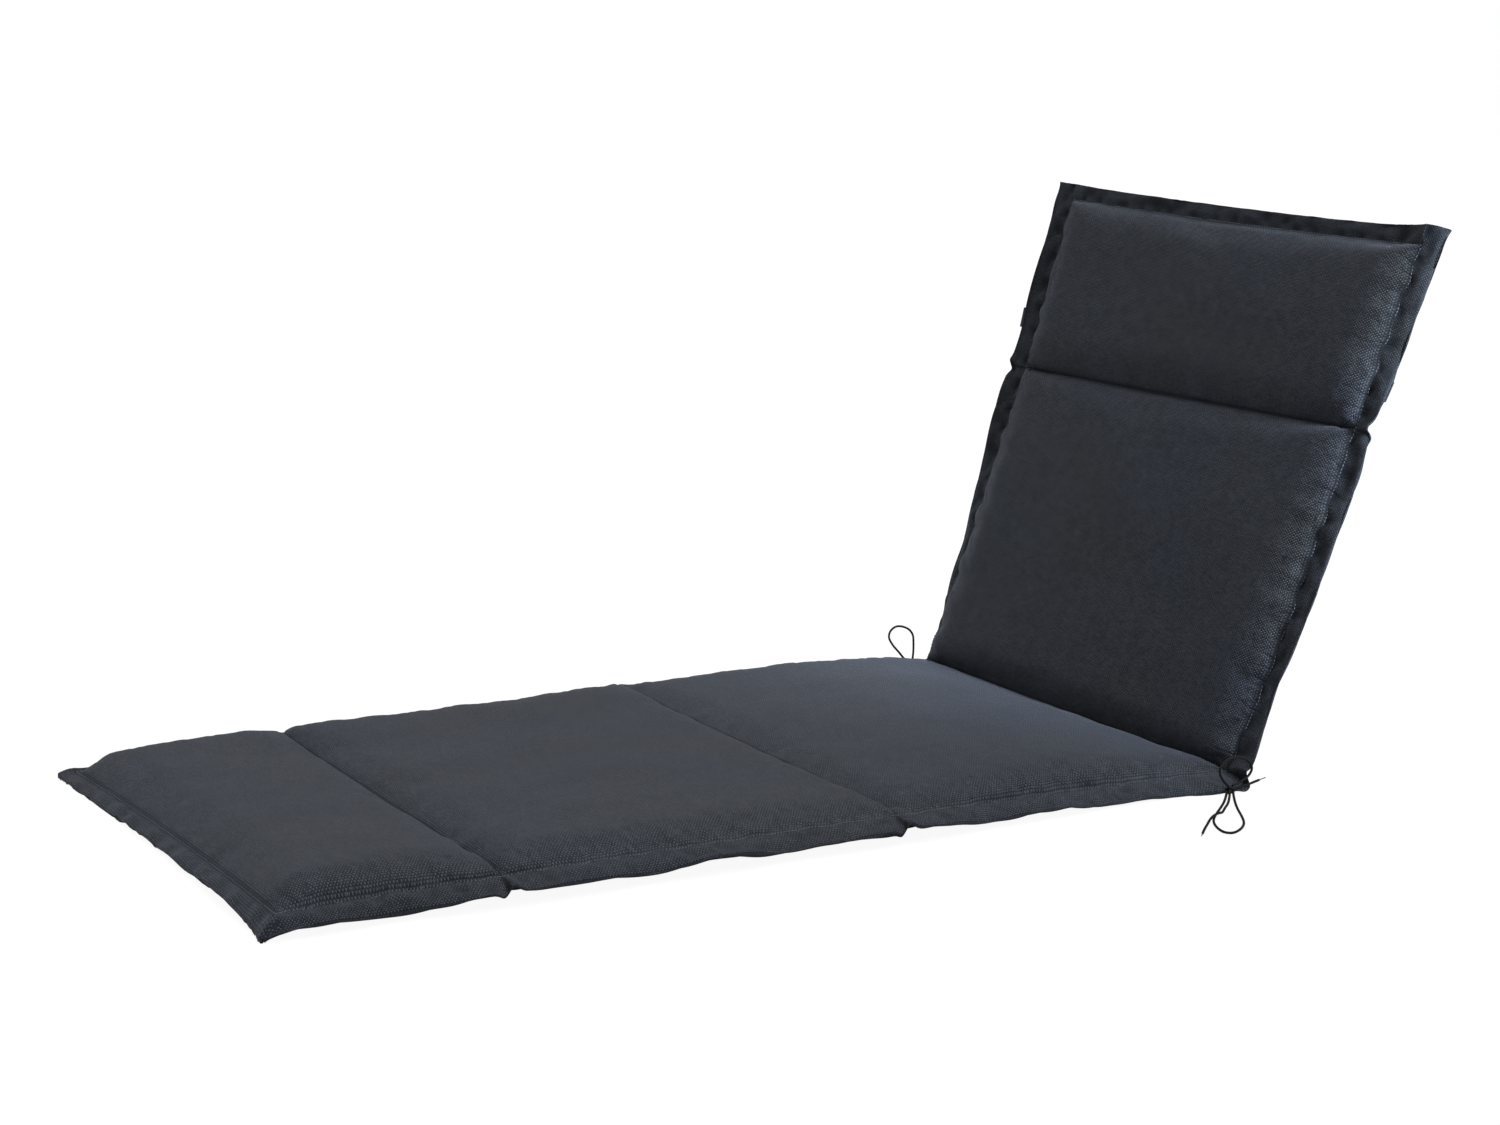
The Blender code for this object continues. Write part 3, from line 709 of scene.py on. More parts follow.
def cover_mesh(name, strips):
    """The closed skin of the cushion, pinned where it is sewn or rests, with its threads' lay."""
    positions, pins, places = [], [], []
    columns = len(COLUMNS)
    ring = 2 * columns
    resting = {panel.name for panel in PANELS if panel.lower is None}
    for pairs, run, kind in strips:
        for cover in (0, 1):
            for k in range(columns) if cover == 0 else reversed(range(columns)):
                side, across = COLUMNS[k]
                positions.append(pairs[k][cover])
                sewn = abs(across) >= 1 or kind in ("seam", "end")
                pins.append(1.0 if sewn or (cover == 1 and kind in resting) else 0.0)
                outside = (abs(across) - 1) * FLANGE_LAY if abs(across) > 1 else 0.0
                place = side * (min(abs(across), 1.0) * LAY_HALF + outside) + LOWER_LAY * cover
                places.append((place, run))
    faces = ring_faces(len(strips), ring, flip=True) + end_faces(len(strips), ring, (False, True))
    piece = new_piece(name, positions, faces, "cloth_lay", corner_places(places, faces))
    return piece, np.array(pins)


PRESSURE = 4.0
FRAMES = 20
MOST_SWELL = 0.0035         # cap on how far a point of the covers moves


def values_of(items, name, kind=np.float32, size=1):
    """A value of every vertex or corner as rows of numbers."""
    values = np.empty(len(items) * size, kind)
    items.foreach_get(name, values)
    return values.reshape(-1, size) if size > 1 else values


def positions_of(mesh):
    return values_of(mesh.vertices, "co", size=3).astype(float)


def blow_up(piece, pins):
    """The wadding's push on the covers: cloth under pressure, held where it is sewn or lies on the floor."""
    group = piece.vertex_groups.new(name="sewn")
    for index in np.flatnonzero(pins):
        group.add([int(index)], 1.0, "REPLACE")
    cloth = piece.modifiers.new("wadding", "CLOTH")
    settings = cloth.settings
    settings.quality = 5
    settings.mass = 0.4
    settings.tension_stiffness = settings.compression_stiffness = 18
    settings.shear_stiffness = 6
    settings.bending_stiffness = 6.0
    settings.vertex_group_mass = "sewn"
    settings.use_pressure = True
    settings.uniform_pressure_force = PRESSURE
    settings.shrink_min = -0.003
    settings.effector_weights.gravity = 0.0
    cloth.collision_settings.use_collision = False
    cloth.collision_settings.use_self_collision = False
    cloth.point_cache.frame_start = 1
    cloth.point_cache.frame_end = FRAMES
    scene = bpy.context.scene
    for frame_number in range(1, FRAMES + 1):
        scene.frame_set(frame_number)
    blown = positions_of(piece.evaluated_get(bpy.context.evaluated_depsgraph_get()).data)
    piece.modifiers.remove(cloth)
    scene.frame_set(1)
    before = positions_of(piece.data)
    move = blown - before
    far = np.linalg.norm(move, axis=1, keepdims=True)
    move *= np.minimum(1.0, MOST_SWELL / np.maximum(far, 1e-9))
    after = before + move
    after[:, 2] = np.maximum(after[:, 2], 0.0)
    piece.data.vertices.foreach_set("co", after.astype(np.float32).ravel())
    piece.data.update()


def finer(piece, levels):
    """Subdivides a piece for good."""
    modifier = piece.modifiers.new("finer", "SUBSURF")
    modifier.levels = levels
    modifier.render_levels = levels
    modifier.boundary_smooth = "PRESERVE_CORNERS"
    graph = bpy.context.evaluated_depsgraph_get()
    mesh = bpy.data.meshes.new_from_object(piece.evaluated_get(graph))
    piece.modifiers.remove(modifier)
    piece.data = mesh
    mesh.shade_smooth()


cushion, pins = cover_mesh("padded_cushion", cushion_strips())
blow_up(cushion, pins)
finer(cushion, 1)

PUCKER_REACH = 0.020        # how far the small puckers of a seam reach into the padding
PUCKER_START = 0.004        # and how far from it they are full
PUCKER_DEPTH = 0.0040
PUCKER_PITCH = 0.027
PUCKER_LENGTH = 0.090
PUCKER_SLANT = 0.5
CHANNEL_PUCKER = 0.5        # share of their depth that those at a channel have
FURROW_DEPTH = 0.0046       # the narrow furrows between two puckers
FURROW_WIDTH = 0.18
SLACK_DEPTH = 0.0024        # broad unevenness of the wadding under the covers
SLACK_PITCH = 0.095
SLACK_START = 0.030
RESTING = 0.0035            # what is lower than this lies on the floor
FLANGE_REACH = 0.022        # the flange's width, over which its unevenness grows
RIPPLE_DEPTH = 0.0046       # unevenness of the flange
RIPPLE_PITCH = 0.055
CRUSH_DEPTH = 0.0042        # small creases in the flange between its seam and its rim
CRUSH_PITCH = 0.021
POCKET_PITCH = 0.034        # small pockets in the flange beside its seam
POCKET_DRIFT = (0.5, 0.070)     # how unevenly they follow each other, and over what length
POCKET_PLACE, POCKET_REACH = 0.0035, 0.0055
POCKET_DEPTH = 0.0022
# Painted shadow in each pocket of the flange.
POCKET_SHADE = 0.75
LYING_POCKETS = 0.2         # share of the pockets that the lying part has
PLEAT_HEIGHT = 0.0055       # the flange folds over itself at each end of a channel
PLEAT_REACH = 0.0085
GATHER_REACH = (0.020, 0.010)   # how far the side seam's fine gathers reach inward and outward
LYING_GATHERS = 0.3         # share of them that the lying part has
SEAM_EDGE = 0.002           # the cloth is past a seam from here on
CREASE_SHADE = 1.0          # painted shade: how much darker the cloth is painted down in a seam
SIDE_CREASE = 0.8           # share of that at the raised part's side seams
CREASE_REACH = 0.0022
FOLD_SHADE = 0.9            # painted shade in the small creases of the flange
FLANGE_SHADE = (0.04, 0.38)     # painted shade on the flange of the lying and of the raised part
RELIEF = (1.7, 1.00, 0.80)  # how strongly the yarns show: lying, raised, and more at the near side; painted light where light grazes the weave
RELIEF_PLACE, RELIEF_REACH = 0.022, 0.020


class CoverPlaces:
    """Where each vertex of the covers is on the cloth: across, up the cushion and from the seams."""

    def __init__(self, mesh):
        places = np.zeros((len(mesh.vertices), 2))
        lay = values_of(mesh.uv_layers["cloth_lay"].data, "uv", size=2)
        places[values_of(mesh.loops, "vertex_index", np.int32)] = lay
        self.lower = places[:, 0] > LOWER_LAY / 2
        self.across = np.where(self.lower, places[:, 0] - LOWER_LAY, places[:, 0])
        self.run = places[:, 1]
        self.inward = LAY_HALF - np.abs(self.across)
        self.to_seam = np.min(np.abs(places[:, 1:2] - SEAM_RUNS[None, :]), axis=1)
        self.raised = self.run > SEAM_RUNS[AT_FOLD]
        self.past_ends = (self.run < 0) | (self.run > RUN)
        self.outside = (self.inward < 0) | self.past_ends


def uneven(x, y, kind):
    """Smooth unevenness from -1 to 1, of a kind that its number tells from the others."""
    return noise.noise(Vector((x, y, kind)))


def padding_moves(place):
    """How far each point of the padded covers moves out: puckers at the seams, slack between them."""
    moves = np.zeros(len(place.run))
    rows = zip(place.across, place.run, place.inward, place.to_seam)
    for index, (x, run, inside, seam) in enumerate(rows):
        if not (0.0 < run < RUN and inside > 0):
            continue
        side_pucker = math.exp(-inside / PUCKER_REACH) * min(1.0, inside / PUCKER_START)
        seam_pucker = math.exp(-seam / PUCKER_REACH) * min(1.0, seam / PUCKER_START)
        along_side = uneven((run + PUCKER_SLANT * inside) / PUCKER_PITCH, x / PUCKER_LENGTH, 3.0)
        along_seam = uneven(x / PUCKER_PITCH, run / PUCKER_LENGTH, 8.0)
        furrow = max(0.0, 1.0 - abs(along_side) / FURROW_WIDTH) ** 2
        slack = uneven(x / SLACK_PITCH, run / SLACK_PITCH, 5.0)
        quiet = min(1.0, inside / SLACK_START) * min(1.0, seam / SLACK_START)
        pucker = side_pucker * along_side + CHANNEL_PUCKER * seam_pucker * along_seam
        moves[index] = PUCKER_DEPTH * pucker - FURROW_DEPTH * side_pucker * furrow
        moves[index] += SLACK_DEPTH * slack * quiet
    return moves


def flange_pocket(outside, run, across, raised):
    """How much of a small pocket the flange has at a distance outside its seam."""
    size, length = POCKET_DRIFT
    phase = run / POCKET_PITCH + size * uneven(run / length, across, 6.0)
    pocket = max(0.0, math.cos(2 * math.pi * phase)) * bell(outside - POCKET_PLACE, POCKET_REACH)
    return pocket * (1.0 if raised else LYING_POCKETS)


def flange_lift(across, run, inward, raised):
    """How far a point of the flange moves off its face, and how much painted shade its small folds and
    pockets give it.
    """
    reach = min(1.0, max(-inward, -run, run - RUN, 0.0) / FLANGE_REACH)
    crush = uneven(across / CRUSH_PITCH, run / CRUSH_PITCH, 4.0) * 4.0 * reach * (1.0 - reach)
    fold = max(0.0, -crush)
    lift = RIPPLE_DEPTH * reach * uneven(across / RIPPLE_PITCH, run / RIPPLE_PITCH, 1.0)
    lift += CRUSH_DEPTH * crush
    outside, beside = (-inward, run) if inward < 0 else (run - RUN, across)
    if outside > 0:
        pocket = flange_pocket(outside, beside, across, raised)
        lift -= POCKET_DEPTH * pocket
        # The pocket's painted shadow.
        fold += POCKET_SHADE * pocket
    nearest = min(SEAM_RUNS[1:-1], key=lambda seam: abs(seam - run))
    off = (run - nearest) / PLEAT_REACH
    return lift + PLEAT_HEIGHT * reach * off * math.exp(-off * off) * 2.0, fold


def keep_values(mesh, name, values):
    """Keeps a value of each vertex for the material."""
    layer = mesh.attributes.new(name, "FLOAT", "POINT")
    layer.data.foreach_set("value", values.astype(np.float32))


def shade_cloth(mesh, place, folds):
    """Painted shade in the cloth's creases, folds, pockets and flange, where it is gathered, and how much its
    yarns show.
    """
    ends = (place.run < 0.003) | (place.run > RUN - 0.003)
    # Painted shade: darker down in each channel, along the raised part's side seams, on the flange and in its
    # folds and pockets.
    channel = CREASE_SHADE * np.exp(-(place.to_seam / CREASE_REACH) ** 2)
    worn = np.where(ends & (place.inward < -SEAM_EDGE), 0.0, channel)
    side = np.where(place.raised, SIDE_CREASE, 0.0)
    side = side * CREASE_SHADE * np.exp(-(np.abs(place.inward) / CREASE_REACH) ** 2)
    past = (place.run < -SEAM_EDGE) | (place.run > RUN + SEAM_EDGE)
    worn = np.maximum(worn, np.where(past, 0.0, side))
    flange = np.where(place.raised, FLANGE_SHADE[1], FLANGE_SHADE[0])
    worn = np.maximum(worn, np.where(place.outside, flange, 0.0))
    keep_values(mesh, "worn", np.minimum(1.0, worn + FOLD_SHADE * folds))
    gather = np.exp(-np.maximum(place.inward, 0.0) / GATHER_REACH[0])
    gather *= np.exp(np.minimum(place.inward, 0.0) / GATHER_REACH[1])
    gather *= np.where(place.raised, 1.0, LYING_GATHERS) * ((place.run > 0) & (place.run < RUN))
    keep_values(mesh, "gather", gather)
    # Painted light: the yarns show more strongly on the lying part and along the near side, where light
    # grazes them.
    off = np.maximum(np.abs(place.inward) - RELIEF_PLACE, 0.0)
    edge = np.exp(-(off / RELIEF_REACH) ** 2) * (place.across < 0)
    keep_values(mesh, "relief", np.where(place.raised, RELIEF[1], RELIEF[0]) + RELIEF[2] * edge)


def crumple(piece):
    """Puckers along the seams, ripples in the flange and broad unevenness of the padding."""
    mesh = piece.data
    place = CoverPlaces(mesh)
    normals = values_of(mesh.vertices, "normal", size=3).astype(float)
    spots = positions_of(mesh)
    moves = padding_moves(place)
    moves[place.lower & (spots[:, 2] < RESTING)] = 0.0
    spots += normals * moves[:, None]
    folds = np.zeros(len(spots))
    for index in np.flatnonzero(place.outside):
        run = place.run[index]
        lift, folds[index] = flange_lift(place.across[index], run, place.inward[index], place.raised[index])
        part = min(max(int(np.searchsorted(SEAM_RUNS, run)) - 1, 0), len(PANELS) - 1)
        distance = min(max(run - SEAM_RUNS[part], 0.0), LINES[part + 1].panel)
        spots[index] += np.array(face_normal(pitch_at(part, distance))) * lift
    spots[:, 2] = np.maximum(spots[:, 2], 0.0)
    mesh.vertices.foreach_set("co", spots.astype(np.float32).ravel())
    mesh.update()
    shade_cloth(mesh, place, folds)


crumple(cushion)

YARN_PITCH = 0.0018
DASH = 1.2                  # how much longer than wide a yarn shows between two crossings
YARN_ROUND = 3.6            # how round a yarn's back is
YARN_BUMP = 0.42
MIDDLE_TONE = 0.42          # between the dark and the light yarns
SLUB_SCALE = 0.09           # of the thick and thin places, to one yarn
STREAK_SCALE = (0.16, 1.37)     # of the streaks along the yarns: the first stretches them
STREAK_MIDDLE = 0.46
YARN_TONES = (0.62, 0.46, 0.65)     # what lying on top, its own tone and its slubs lighten a yarn by
FADED_SCALE = 0.010         # of the wide faded patches
FADED_SPREAD = (2.4, -0.7)  # how sharply they are set off, and how few they are
COVER_DARK = (0.0026, 0.0028, 0.0033, 1.0)
COVER_LIGHT = (0.056, 0.062, 0.088, 1.0)
COVER_FADED = (0.065, 0.065, 0.067, 1.0)
SHEEN_TINT = (0.72, 0.80, 1.0, 1.0)
GATHER_LINES = (15.0, 36.0, 0.0)    # fine gathers in a metre along their length, and side by side
GATHER_WIDTH = 0.038
# Painted shade in the furrows of the fine gathers.
GATHER_SHADE = 0.48
COVER_ROUGHNESS = 0.56
CREASE_ROUGHNESS = 0.39       # what a dark crease has more


def add_noise(tree, place, scale, detail, flat=False):
    node = tree.nodes.new("ShaderNodeTexNoise")
    if flat:
        node.noise_dimensions = "2D"
    node.inputs["Scale"].default_value = scale
    node.inputs["Detail"].default_value = detail
    feed(tree, node.inputs["Vector"], place)
    return Formula(tree, node.outputs["Fac"])


def add_place(tree, x, y):
    node = tree.nodes.new("ShaderNodeCombineXYZ")
    feed(tree, node.inputs[0], x)
    feed(tree, node.inputs[1], y)
    return node.outputs[0]


def add_vector_math(tree, operation, first, second):
    node = tree.nodes.new("ShaderNodeVectorMath")
    node.operation = operation
    feed(tree, node.inputs[0], first)
    feed(tree, node.inputs[1], second)
    return node.outputs[0]


def add_yarn_back(place):
    """The round back of a yarn, across a place counted in yarns."""
    off = (place.then("FRACT") - 0.5).then("ABSOLUTE")
    return 1.0 - off * off * YARN_ROUND


def weave_group():
    """Yarns of a plain weave over and under each other, laid by a place in metres on the cloth."""
    group = bpy.data.node_groups.new("woven_yarns", "ShaderNodeTree")
    for name, kind in (("Place", "Vector"), ("Pitch", "Float"), ("Relief", "Float"),
                       ("Dark Yarn", "Color"), ("Light Yarn", "Color"), ("Faded Yarn", "Color")):
        group.interface.new_socket(name, in_out="INPUT", socket_type="NodeSocket" + kind)
    for name, kind in (("Colour", "Color"), ("Height", "Float")):
        group.interface.new_socket(name, in_out="OUTPUT", socket_type="NodeSocket" + kind)
    given = group.nodes.new("NodeGroupInput").outputs
    results = group.nodes.new("NodeGroupOutput").inputs
    pitches = group.nodes.new("ShaderNodeCombineXYZ")
    for socket in pitches.inputs:
        feed(group, socket, given["Pitch"])
    yarns = add_vector_math(group, "DIVIDE", given["Place"], pitches.outputs[0])
    across, along = add_split(group, yarns)
    across = across * (1.0 / DASH)
    cell_x, cell_y = across.then("FLOOR"), along.then("FLOOR")
    over = (cell_x + cell_y).then("FLOORED_MODULO", 2.0)
    height = add_yarn_back(across) * add_yarn_back(along)
    own = group.nodes.new("ShaderNodeTexWhiteNoise")
    own.noise_dimensions = "2D"
    feed(group, own.inputs["Vector"], add_place(group, cell_x, cell_y))
    own = Formula(group, own.outputs["Value"])
    slub = add_noise(group, yarns, SLUB_SCALE, 3.0)
    streak = add_place(group, across * STREAK_SCALE[0], cell_y)
    streak = add_noise(group, streak, STREAK_SCALE[1], 1.0, flat=True)
    on_top, own_tone, slubs = YARN_TONES
    share = over * on_top + own * own_tone + (slub - 0.5) * slubs + (streak - STREAK_MIDDLE)
    # Relief sets the yarns' contrast, which the cover raises as painted light where light grazes the weave.
    share = (share * height - MIDDLE_TONE) * Formula(group, given["Relief"]) + MIDDLE_TONE
    share = share.then("MAXIMUM", 0.0)
    fading = add_noise(group, yarns, FADED_SCALE, 2.0).then("MULTIPLY_ADD", *FADED_SPREAD)
    fading.socket.node.use_clamp = True
    light = add_mix(group, fading, given["Light Yarn"], given["Faded Yarn"])
    feed(group, results["Colour"], add_mix(group, share, given["Dark Yarn"], light))
    feed(group, results["Height"], height)
    return group


WEAVE = weave_group()


def add_weave(tree, **given):
    """The woven yarns in a material: their colour and their height."""
    weave = tree.nodes.new("ShaderNodeGroup")
    weave.node_tree = WEAVE
    for name, value in given.items():
        feed(tree, weave.inputs[name.replace("_", " ").title()], value)
    return weave.outputs["Colour"], Formula(tree, weave.outputs["Height"])


def add_attribute(tree, name):
    node = tree.nodes.new("ShaderNodeAttribute")
    node.attribute_name = name
    return Formula(tree, node.outputs["Fac"])


def cover_cloth_material():
    """Dark blue-grey two-tone polyester, with a cool sheen where it turns away."""
    material, shader = new_material(
        "cover_cloth", roughness=COVER_ROUGHNESS, specular=0.34, sheen=0.16, sheen_tint=SHEEN_TINT)
    shader.inputs["Specular Tint"].default_value = (0.72, 0.84, 1.0, 1.0)
    tree = material.node_tree
    lay = add_lay(tree, "cloth_lay")
    # worn holds the painted shade of the creases, folds, pockets and flange.
    worn = add_attribute(tree, "worn")
    colour, height = add_weave(tree, place=lay, pitch=YARN_PITCH, relief=add_attribute(tree, "relief"),
                               dark_yarn=COVER_DARK, light_yarn=COVER_LIGHT, faded_yarn=COVER_FADED)
    lines = add_noise(tree, add_vector_math(tree, "MULTIPLY", lay, GATHER_LINES), 1.0, 1.0, flat=True)
    off = (lines - 0.5).then("ABSOLUTE")
    open_cloth = (off * (1.0 / GATHER_WIDTH)).then("MINIMUM", 1.0)
    furrow = (1.0 - open_cloth) * add_attribute(tree, "gather")
    # Painted shade: the colour goes toward the darkest yarn in the gathers' furrows and where worn is high.
    darkness = (furrow * GATHER_SHADE + worn).then("MINIMUM", 1.0)
    feed(tree, shader.inputs["Base Color"], add_mix(tree, darkness, colour, COVER_DARK))
    feed(tree, shader.inputs["Roughness"], worn * CREASE_ROUGHNESS + COVER_ROUGHNESS)
    bump = add_bump(tree, height * YARN_BUMP - furrow, distance=0.0012, strength=0.8)
    feed(tree, shader.inputs["Normal"], bump)
    return material


cushion.data.materials.append(cover_cloth_material())
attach(cushion, "root")
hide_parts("cushion")


# Stitching
# The side seam is one row of lock stitches in dark polyester thread on both covers, and each channel
# across has its own row. A stitch is a short rod of thread that dips into the cloth at both ends.

STITCH = 0.0044
STITCH_SHOWN = 0.0034
THREAD = 0.0005
THREAD_SIDES = 5
THREAD_COLOUR = (0.058, 0.062, 0.073, 1.0)
Point = namedtuple("Point", "share lift thick")
STITCH_POINTS = (Point(0.0, -0.0004, 0.5), Point(0.22, 0.0002, 1.0), Point(0.78, 0.0002, 1.0),
                 Point(1.0, -0.0004, 0.5))
STITCH_AHEAD = 0.0005       # a stitch's direction is taken to a point this far on
CHANNEL_POINTS = 60


def stitch_row(points, normals, positions, faces):
    """Adds a row of stitches along points on a cover."""
    steps = [(b - a).length for a, b in zip(points, points[1:])]
    lengths = np.concatenate([[0.0], np.cumsum(steps)])
    spots, ups = np.array(points), np.array(normals)

    def at(goal):
        spot = Vector([np.interp(goal, lengths, spots[:, axis]) for axis in range(3)])
        up = Vector([np.interp(goal, lengths, ups[:, axis]) for axis in range(3)]).normalized()
        return spot, up

    for k in range(int(lengths[-1] / STITCH)):
        base = len(positions)
        for point in STITCH_POINTS:
            place = k * STITCH + STITCH_SHOWN * point.share
            spot = at(place)[0]
            ahead_spot, up = at(place + STITCH_AHEAD)
            beside = (ahead_spot - spot).normalized().cross(up)
            for j in range(THREAD_SIDES):
                angle = 2 * math.pi * j / THREAD_SIDES
                round_spot = (beside * math.cos(angle) + up * math.sin(angle)) * THREAD * point.thick
                positions.append(spot + up * point.lift + round_spot)
        faces += ring_faces(len(STITCH_POINTS), THREAD_SIDES, base=base)
        last = base + THREAD_SIDES * (len(STITCH_POINTS) - 1)
        faces.append(tuple(base + j for j in reversed(range(THREAD_SIDES))))
        faces.append(tuple(last + j for j in range(THREAD_SIDES)))


def sew():
    """All rows of stitching as one piece."""
    positions, faces = [], []
    sections = padded_sections()
    thin = CLOTH / 2 * HEM_PROFILE[0][1]
    for facing in (1, -1):
        ups = [section.normal * facing for section in sections]
        for side in (-1, 1):
            row = [section.middle(side) + up * thin for section, up in zip(sections, ups)]
            stitch_row(row, ups, positions, faces)
        for section, up in zip(sections, ups):
            if section.on_line:
                places = [2 * k / CHANNEL_POINTS - 1 for k in range(CHANNEL_POINTS + 1)]
                row = [section.middle(across) + up * thin for across in places]
                stitch_row(row, [up] * len(row), positions, faces)
    return new_piece("seam_stitching", positions, faces)


def thread_material():
    """Twisted polyester thread, a little lighter on its strands."""
    material, shader = new_material(
        "thread", roughness=0.5, specular=0.4, sheen=0.1, sheen_tint=SHEEN_TINT)
    tree = material.node_tree
    place = tree.nodes.new("ShaderNodeTexCoord")
    twist = add_noise(tree, place.outputs["Object"], 900.0, 2.0)
    light = tuple(value * 2.2 for value in THREAD_COLOUR[:3]) + (1.0,)
    feed(tree, shader.inputs["Base Color"], add_mix(tree, twist, THREAD_COLOUR, light))
    feed(tree, shader.inputs["Normal"], add_bump(tree, twist, distance=0.0001, strength=0.5))
    return material


stitching = sew()
stitching.data.materials.append(thread_material())
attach(stitching, "root")


# The elastic band
# A woven elastic of 26 mm is sewn to the flange on both sides and runs tight across the back of the
# head panel, where it slips over the top of a lounger's back.

BAND_WIDTH = 0.026
BAND_THICK = 0.0016
BAND_NEAR, BAND_FAR = 0.053, 0.066      # height of its middle above the last channel at each side
BAND_PROUD = (0.001, 0.007)             # how far its ends stand out past the flange
BAND_CLEAR = 0.0005                     # between the band and the cover
BAND_RIBS = 9
RIB_POINTS = 4
RIB_RELIEF = 0.00018
SELVEDGE_FROM = 0.97                    # share of the half width from which the band is thinner
SELVEDGE = 0.4
BEHIND = 0.12                           # where the search for the cover starts
BAND_PITCH = 0.0011
BAND_DARK = (0.008, 0.008, 0.009, 1.0)
BAND_LIGHT = (0.030, 0.031, 0.034, 1.0)


def band_places():
    """Points across the band, and how far its ribs stand out there."""
    count = BAND_RIBS * RIB_POINTS
    ribs = [RIB_RELIEF * abs(math.sin(math.pi * BAND_RIBS * k / count)) for k in range(count + 1)]
    return [(BAND_WIDTH * (k / count - 0.5), rib) for k, rib in enumerate(ribs)]


def tight_over(profile, across):
    """Height of a band pulled tight over a profile."""
    best = -1.0
    for left, low in profile:
        for right, high in profile:
            if left <= across <= right and left < right:
                best = max(best, between(low, high, (across - left) / (right - left)))
    return best


def band_strip(offset, tree):
    """Points along the band at one distance from its middle, on the back of the head panel."""
    index = len(PANELS) - 1
    columns = COLUMNS[::2] if len(COLUMNS) % 2 else COLUMNS
    backs = []
    for side, across in columns:
        place = between(BAND_NEAR, BAND_FAR, (min(max(across, -1.0), 1.0) + 1) / 2) + offset
        section = CrossSection(index, place)
        spot = section.flange(side, abs(across) - 1) if abs(across) > 1 else section.middle(across)
        normal = section.normal
        hit = tree.ray_cast(spot - normal * BEHIND, normal)[0]
        backs.append(hit if hit else spot - normal * hem_thickness(abs(across) - 1) / 2)
    profile = [(back.y, (backs[0] - back).dot(normal)) for back in backs]
    clear = [height - tight_over(profile, across) - BAND_CLEAR for across, height in profile]
    line = [back + normal * distance for back, distance in zip(backs, clear)]
    near_end = line[0] - Vector((0.0, BAND_PROUD[0], 0.0))
    far_end = line[-1] + Vector((0.0, BAND_PROUD[1], 0.0))
    return normal, [near_end, *line, far_end]


def weave_band():
    """The band's mesh, ribbed on the outside, and the length of its middle."""
    tree = BVHTree.FromObject(cushion, bpy.context.evaluated_depsgraph_get())
    places = band_places()
    rows = [band_strip(offset, tree) for offset in (-BAND_WIDTH / 2, 0.0, BAND_WIDTH / 2)]
    columns = len(rows[0][1])
    uppers, lowers = [], []
    for offset, rib in places:
        share = offset / BAND_WIDTH * 2
        low, high = (rows[1], rows[2]) if share > 0 else (rows[1], rows[0])
        edge = 1.0 if abs(share) < SELVEDGE_FROM else SELVEDGE
        upper, lower = [], []
        for k in range(columns):
            spot = between(low[1][k], high[1][k], abs(share))
            normal = low[0]
            upper.append(spot - normal * (BAND_THICK / 2 * (1 - edge)))
            lower.append(spot - normal * (BAND_THICK * (1 + edge) / 2 + rib - RIB_RELIEF))
        uppers.append(upper)
        lowers.append(lower)
    positions, lays = [], []
    for k in range(columns):
        positions += [upper[k] for upper in uppers] + [lower[k] for lower in reversed(lowers)]
        run = rows[1][1][k].y
        lays += [(offset, run) for offset, rib in places]
        lays += [(offset, run) for offset, rib in reversed(places)]
    ring = 2 * len(places)
    faces = ring_faces(columns, ring) + end_faces(columns, ring, (True, False))
    piece = new_piece("elastic_band", positions, faces, "band_lay", corner_places(lays, faces))
    centre = rows[1][1]
    return piece, sum((b - a).length for a, b in zip(centre, centre[1:]))


def elastic_material():
    """Dark woven elastic, finer than the cover."""
    material, shader = new_material(
        "elastic", roughness=0.7, specular=0.3, sheen=0.15, sheen_tint=(0.7, 0.72, 0.8, 1.0))
    tree = material.node_tree
    colour, height = add_weave(tree, place=add_lay(tree, "band_lay"), pitch=BAND_PITCH, relief=1.0,
                               dark_yarn=BAND_DARK, light_yarn=BAND_LIGHT, faded_yarn=BAND_LIGHT)
    feed(tree, shader.inputs["Base Color"], colour)
    feed(tree, shader.inputs["Normal"], add_bump(tree, height, distance=0.0003, strength=0.7))
    return material


band, band_length = weave_band()
band.data.materials.append(elastic_material())
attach(band, "root")
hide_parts("head_band")


# Floor and light
# A wide matt floor without an edge in view, a large soft light overhead and a weaker one at the side.
# The floor glows for the camera alone, so that it shows as pale as the surround, and is duller in the
# light that it sends back to the cushion.

WHITE = (1.0, 1.0, 1.0, 1.0)
FLOOR_HALF = 30.0
FLOOR_BELOW = 0.0002
FLOOR_COLOUR = (0.08, 0.08, 0.08, 1.0)
FLOOR_GLOW = 0.93
FLOOR_BOUNCE = (0.44, 0.44, 0.44, 1.0)
OVERHEAD_LIGHT = 2.72
OVERHEAD_SPREAD = 80.0
OVERHEAD_FROM = Vector((0.12, -0.22, 1.0))
FILL_LIGHT = 0.30
SIDE_LIGHT = 460.0
SIDE_COLOUR = (0.80, 0.90, 1.0)
SIDE_CONE = 30.0
SIDE_SOFTNESS = 0.22
SIDE_FROM = Vector((0.88, -1.95, 0.94))
SIDE_AT = Vector((0.68, -0.30, 0.44))


def show_and_light(tree, shown, lighting, output):
    """Lets the camera see one shader and the rest of the scene another."""
    rays = tree.nodes.new("ShaderNodeLightPath")
    either = tree.nodes.new("ShaderNodeMixShader")
    tree.links.new(rays.outputs["Is Camera Ray"], either.inputs[0])
    tree.links.new(lighting.outputs[0], either.inputs[1])
    tree.links.new(shown.outputs[0], either.inputs[2])
    tree.links.new(either.outputs[0], tree.nodes[output].inputs["Surface"])


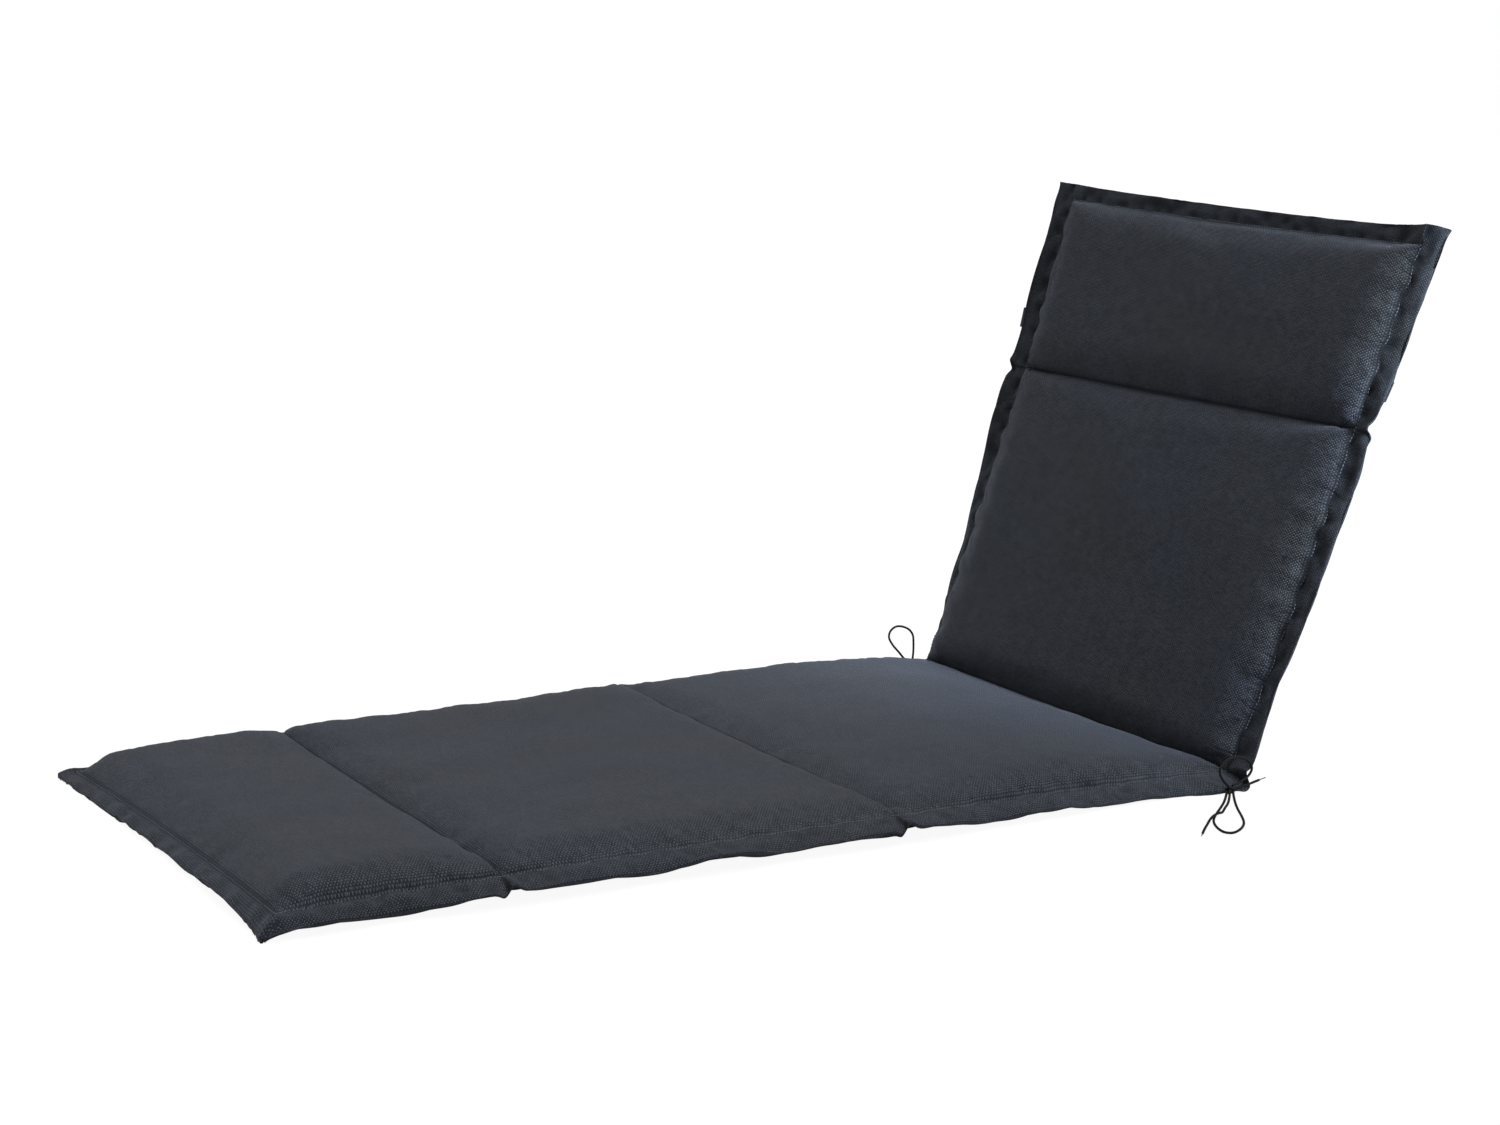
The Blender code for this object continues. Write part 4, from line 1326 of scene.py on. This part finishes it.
def lay_floor():
    corners = [(x * FLOOR_HALF, y * FLOOR_HALF, 0) for x, y in ((-1, -1), (1, -1), (1, 1), (-1, 1))]
    floor = new_piece("floor", corners, [(0, 1, 2, 3)])
    floor.location = (0.0, 0.0, -FLOOR_BELOW)
    material, shader = new_material("floor", roughness=0.9, specular=0.2, sheen=0.0)
    shader.inputs["Base Color"].default_value = FLOOR_COLOUR
    shader.inputs["Emission Color"].default_value = WHITE
    shader.inputs["Emission Strength"].default_value = FLOOR_GLOW
    duller = material.node_tree.nodes.new("ShaderNodeBsdfDiffuse")
    duller.inputs["Color"].default_value = FLOOR_BOUNCE
    show_and_light(material.node_tree, shader, duller, "Material Output")
    floor.data.materials.append(material)


def hang_lamp(light, direction, place=(0.0, 0.0, 0.0)):
    lamp = bpy.data.objects.new(light.name, light)
    lamp.location = place
    lamp.rotation_euler = direction.to_track_quat("-Z", "Y").to_euler()
    lamp.visible_camera = False
    bpy.context.scene.collection.objects.link(lamp)


def light_from_above():
    """A wide soft light from above, the same over the whole floor."""
    light = bpy.data.lights.new("overhead", "SUN")
    light.energy = OVERHEAD_LIGHT
    light.angle = math.radians(OVERHEAD_SPREAD)
    hang_lamp(light, -OVERHEAD_FROM)


def shine_on_side():
    """A soft cool light along the near side of the raised back."""
    light = bpy.data.lights.new("side", "SPOT")
    light.energy = SIDE_LIGHT
    light.color = SIDE_COLOUR
    light.spot_size = math.radians(SIDE_CONE)
    light.spot_blend = 1.0
    light.shadow_soft_size = SIDE_SOFTNESS
    hang_lamp(light, SIDE_AT - SIDE_FROM, SIDE_FROM)


def pale_surround():
    """A plain white surround, which lights the cushion less than it shows."""
    surround = bpy.data.worlds.new("surround")
    surround.use_nodes = True
    fill = surround.node_tree.nodes["Background"]
    fill.inputs["Color"].default_value = WHITE
    fill.inputs["Strength"].default_value = FILL_LIGHT
    backdrop = surround.node_tree.nodes.new("ShaderNodeBackground")
    backdrop.inputs["Color"].default_value = WHITE
    show_and_light(surround.node_tree, backdrop, fill, "World Output")
    bpy.context.scene.world = surround


lay_floor()
light_from_above()
shine_on_side()
pale_surround()
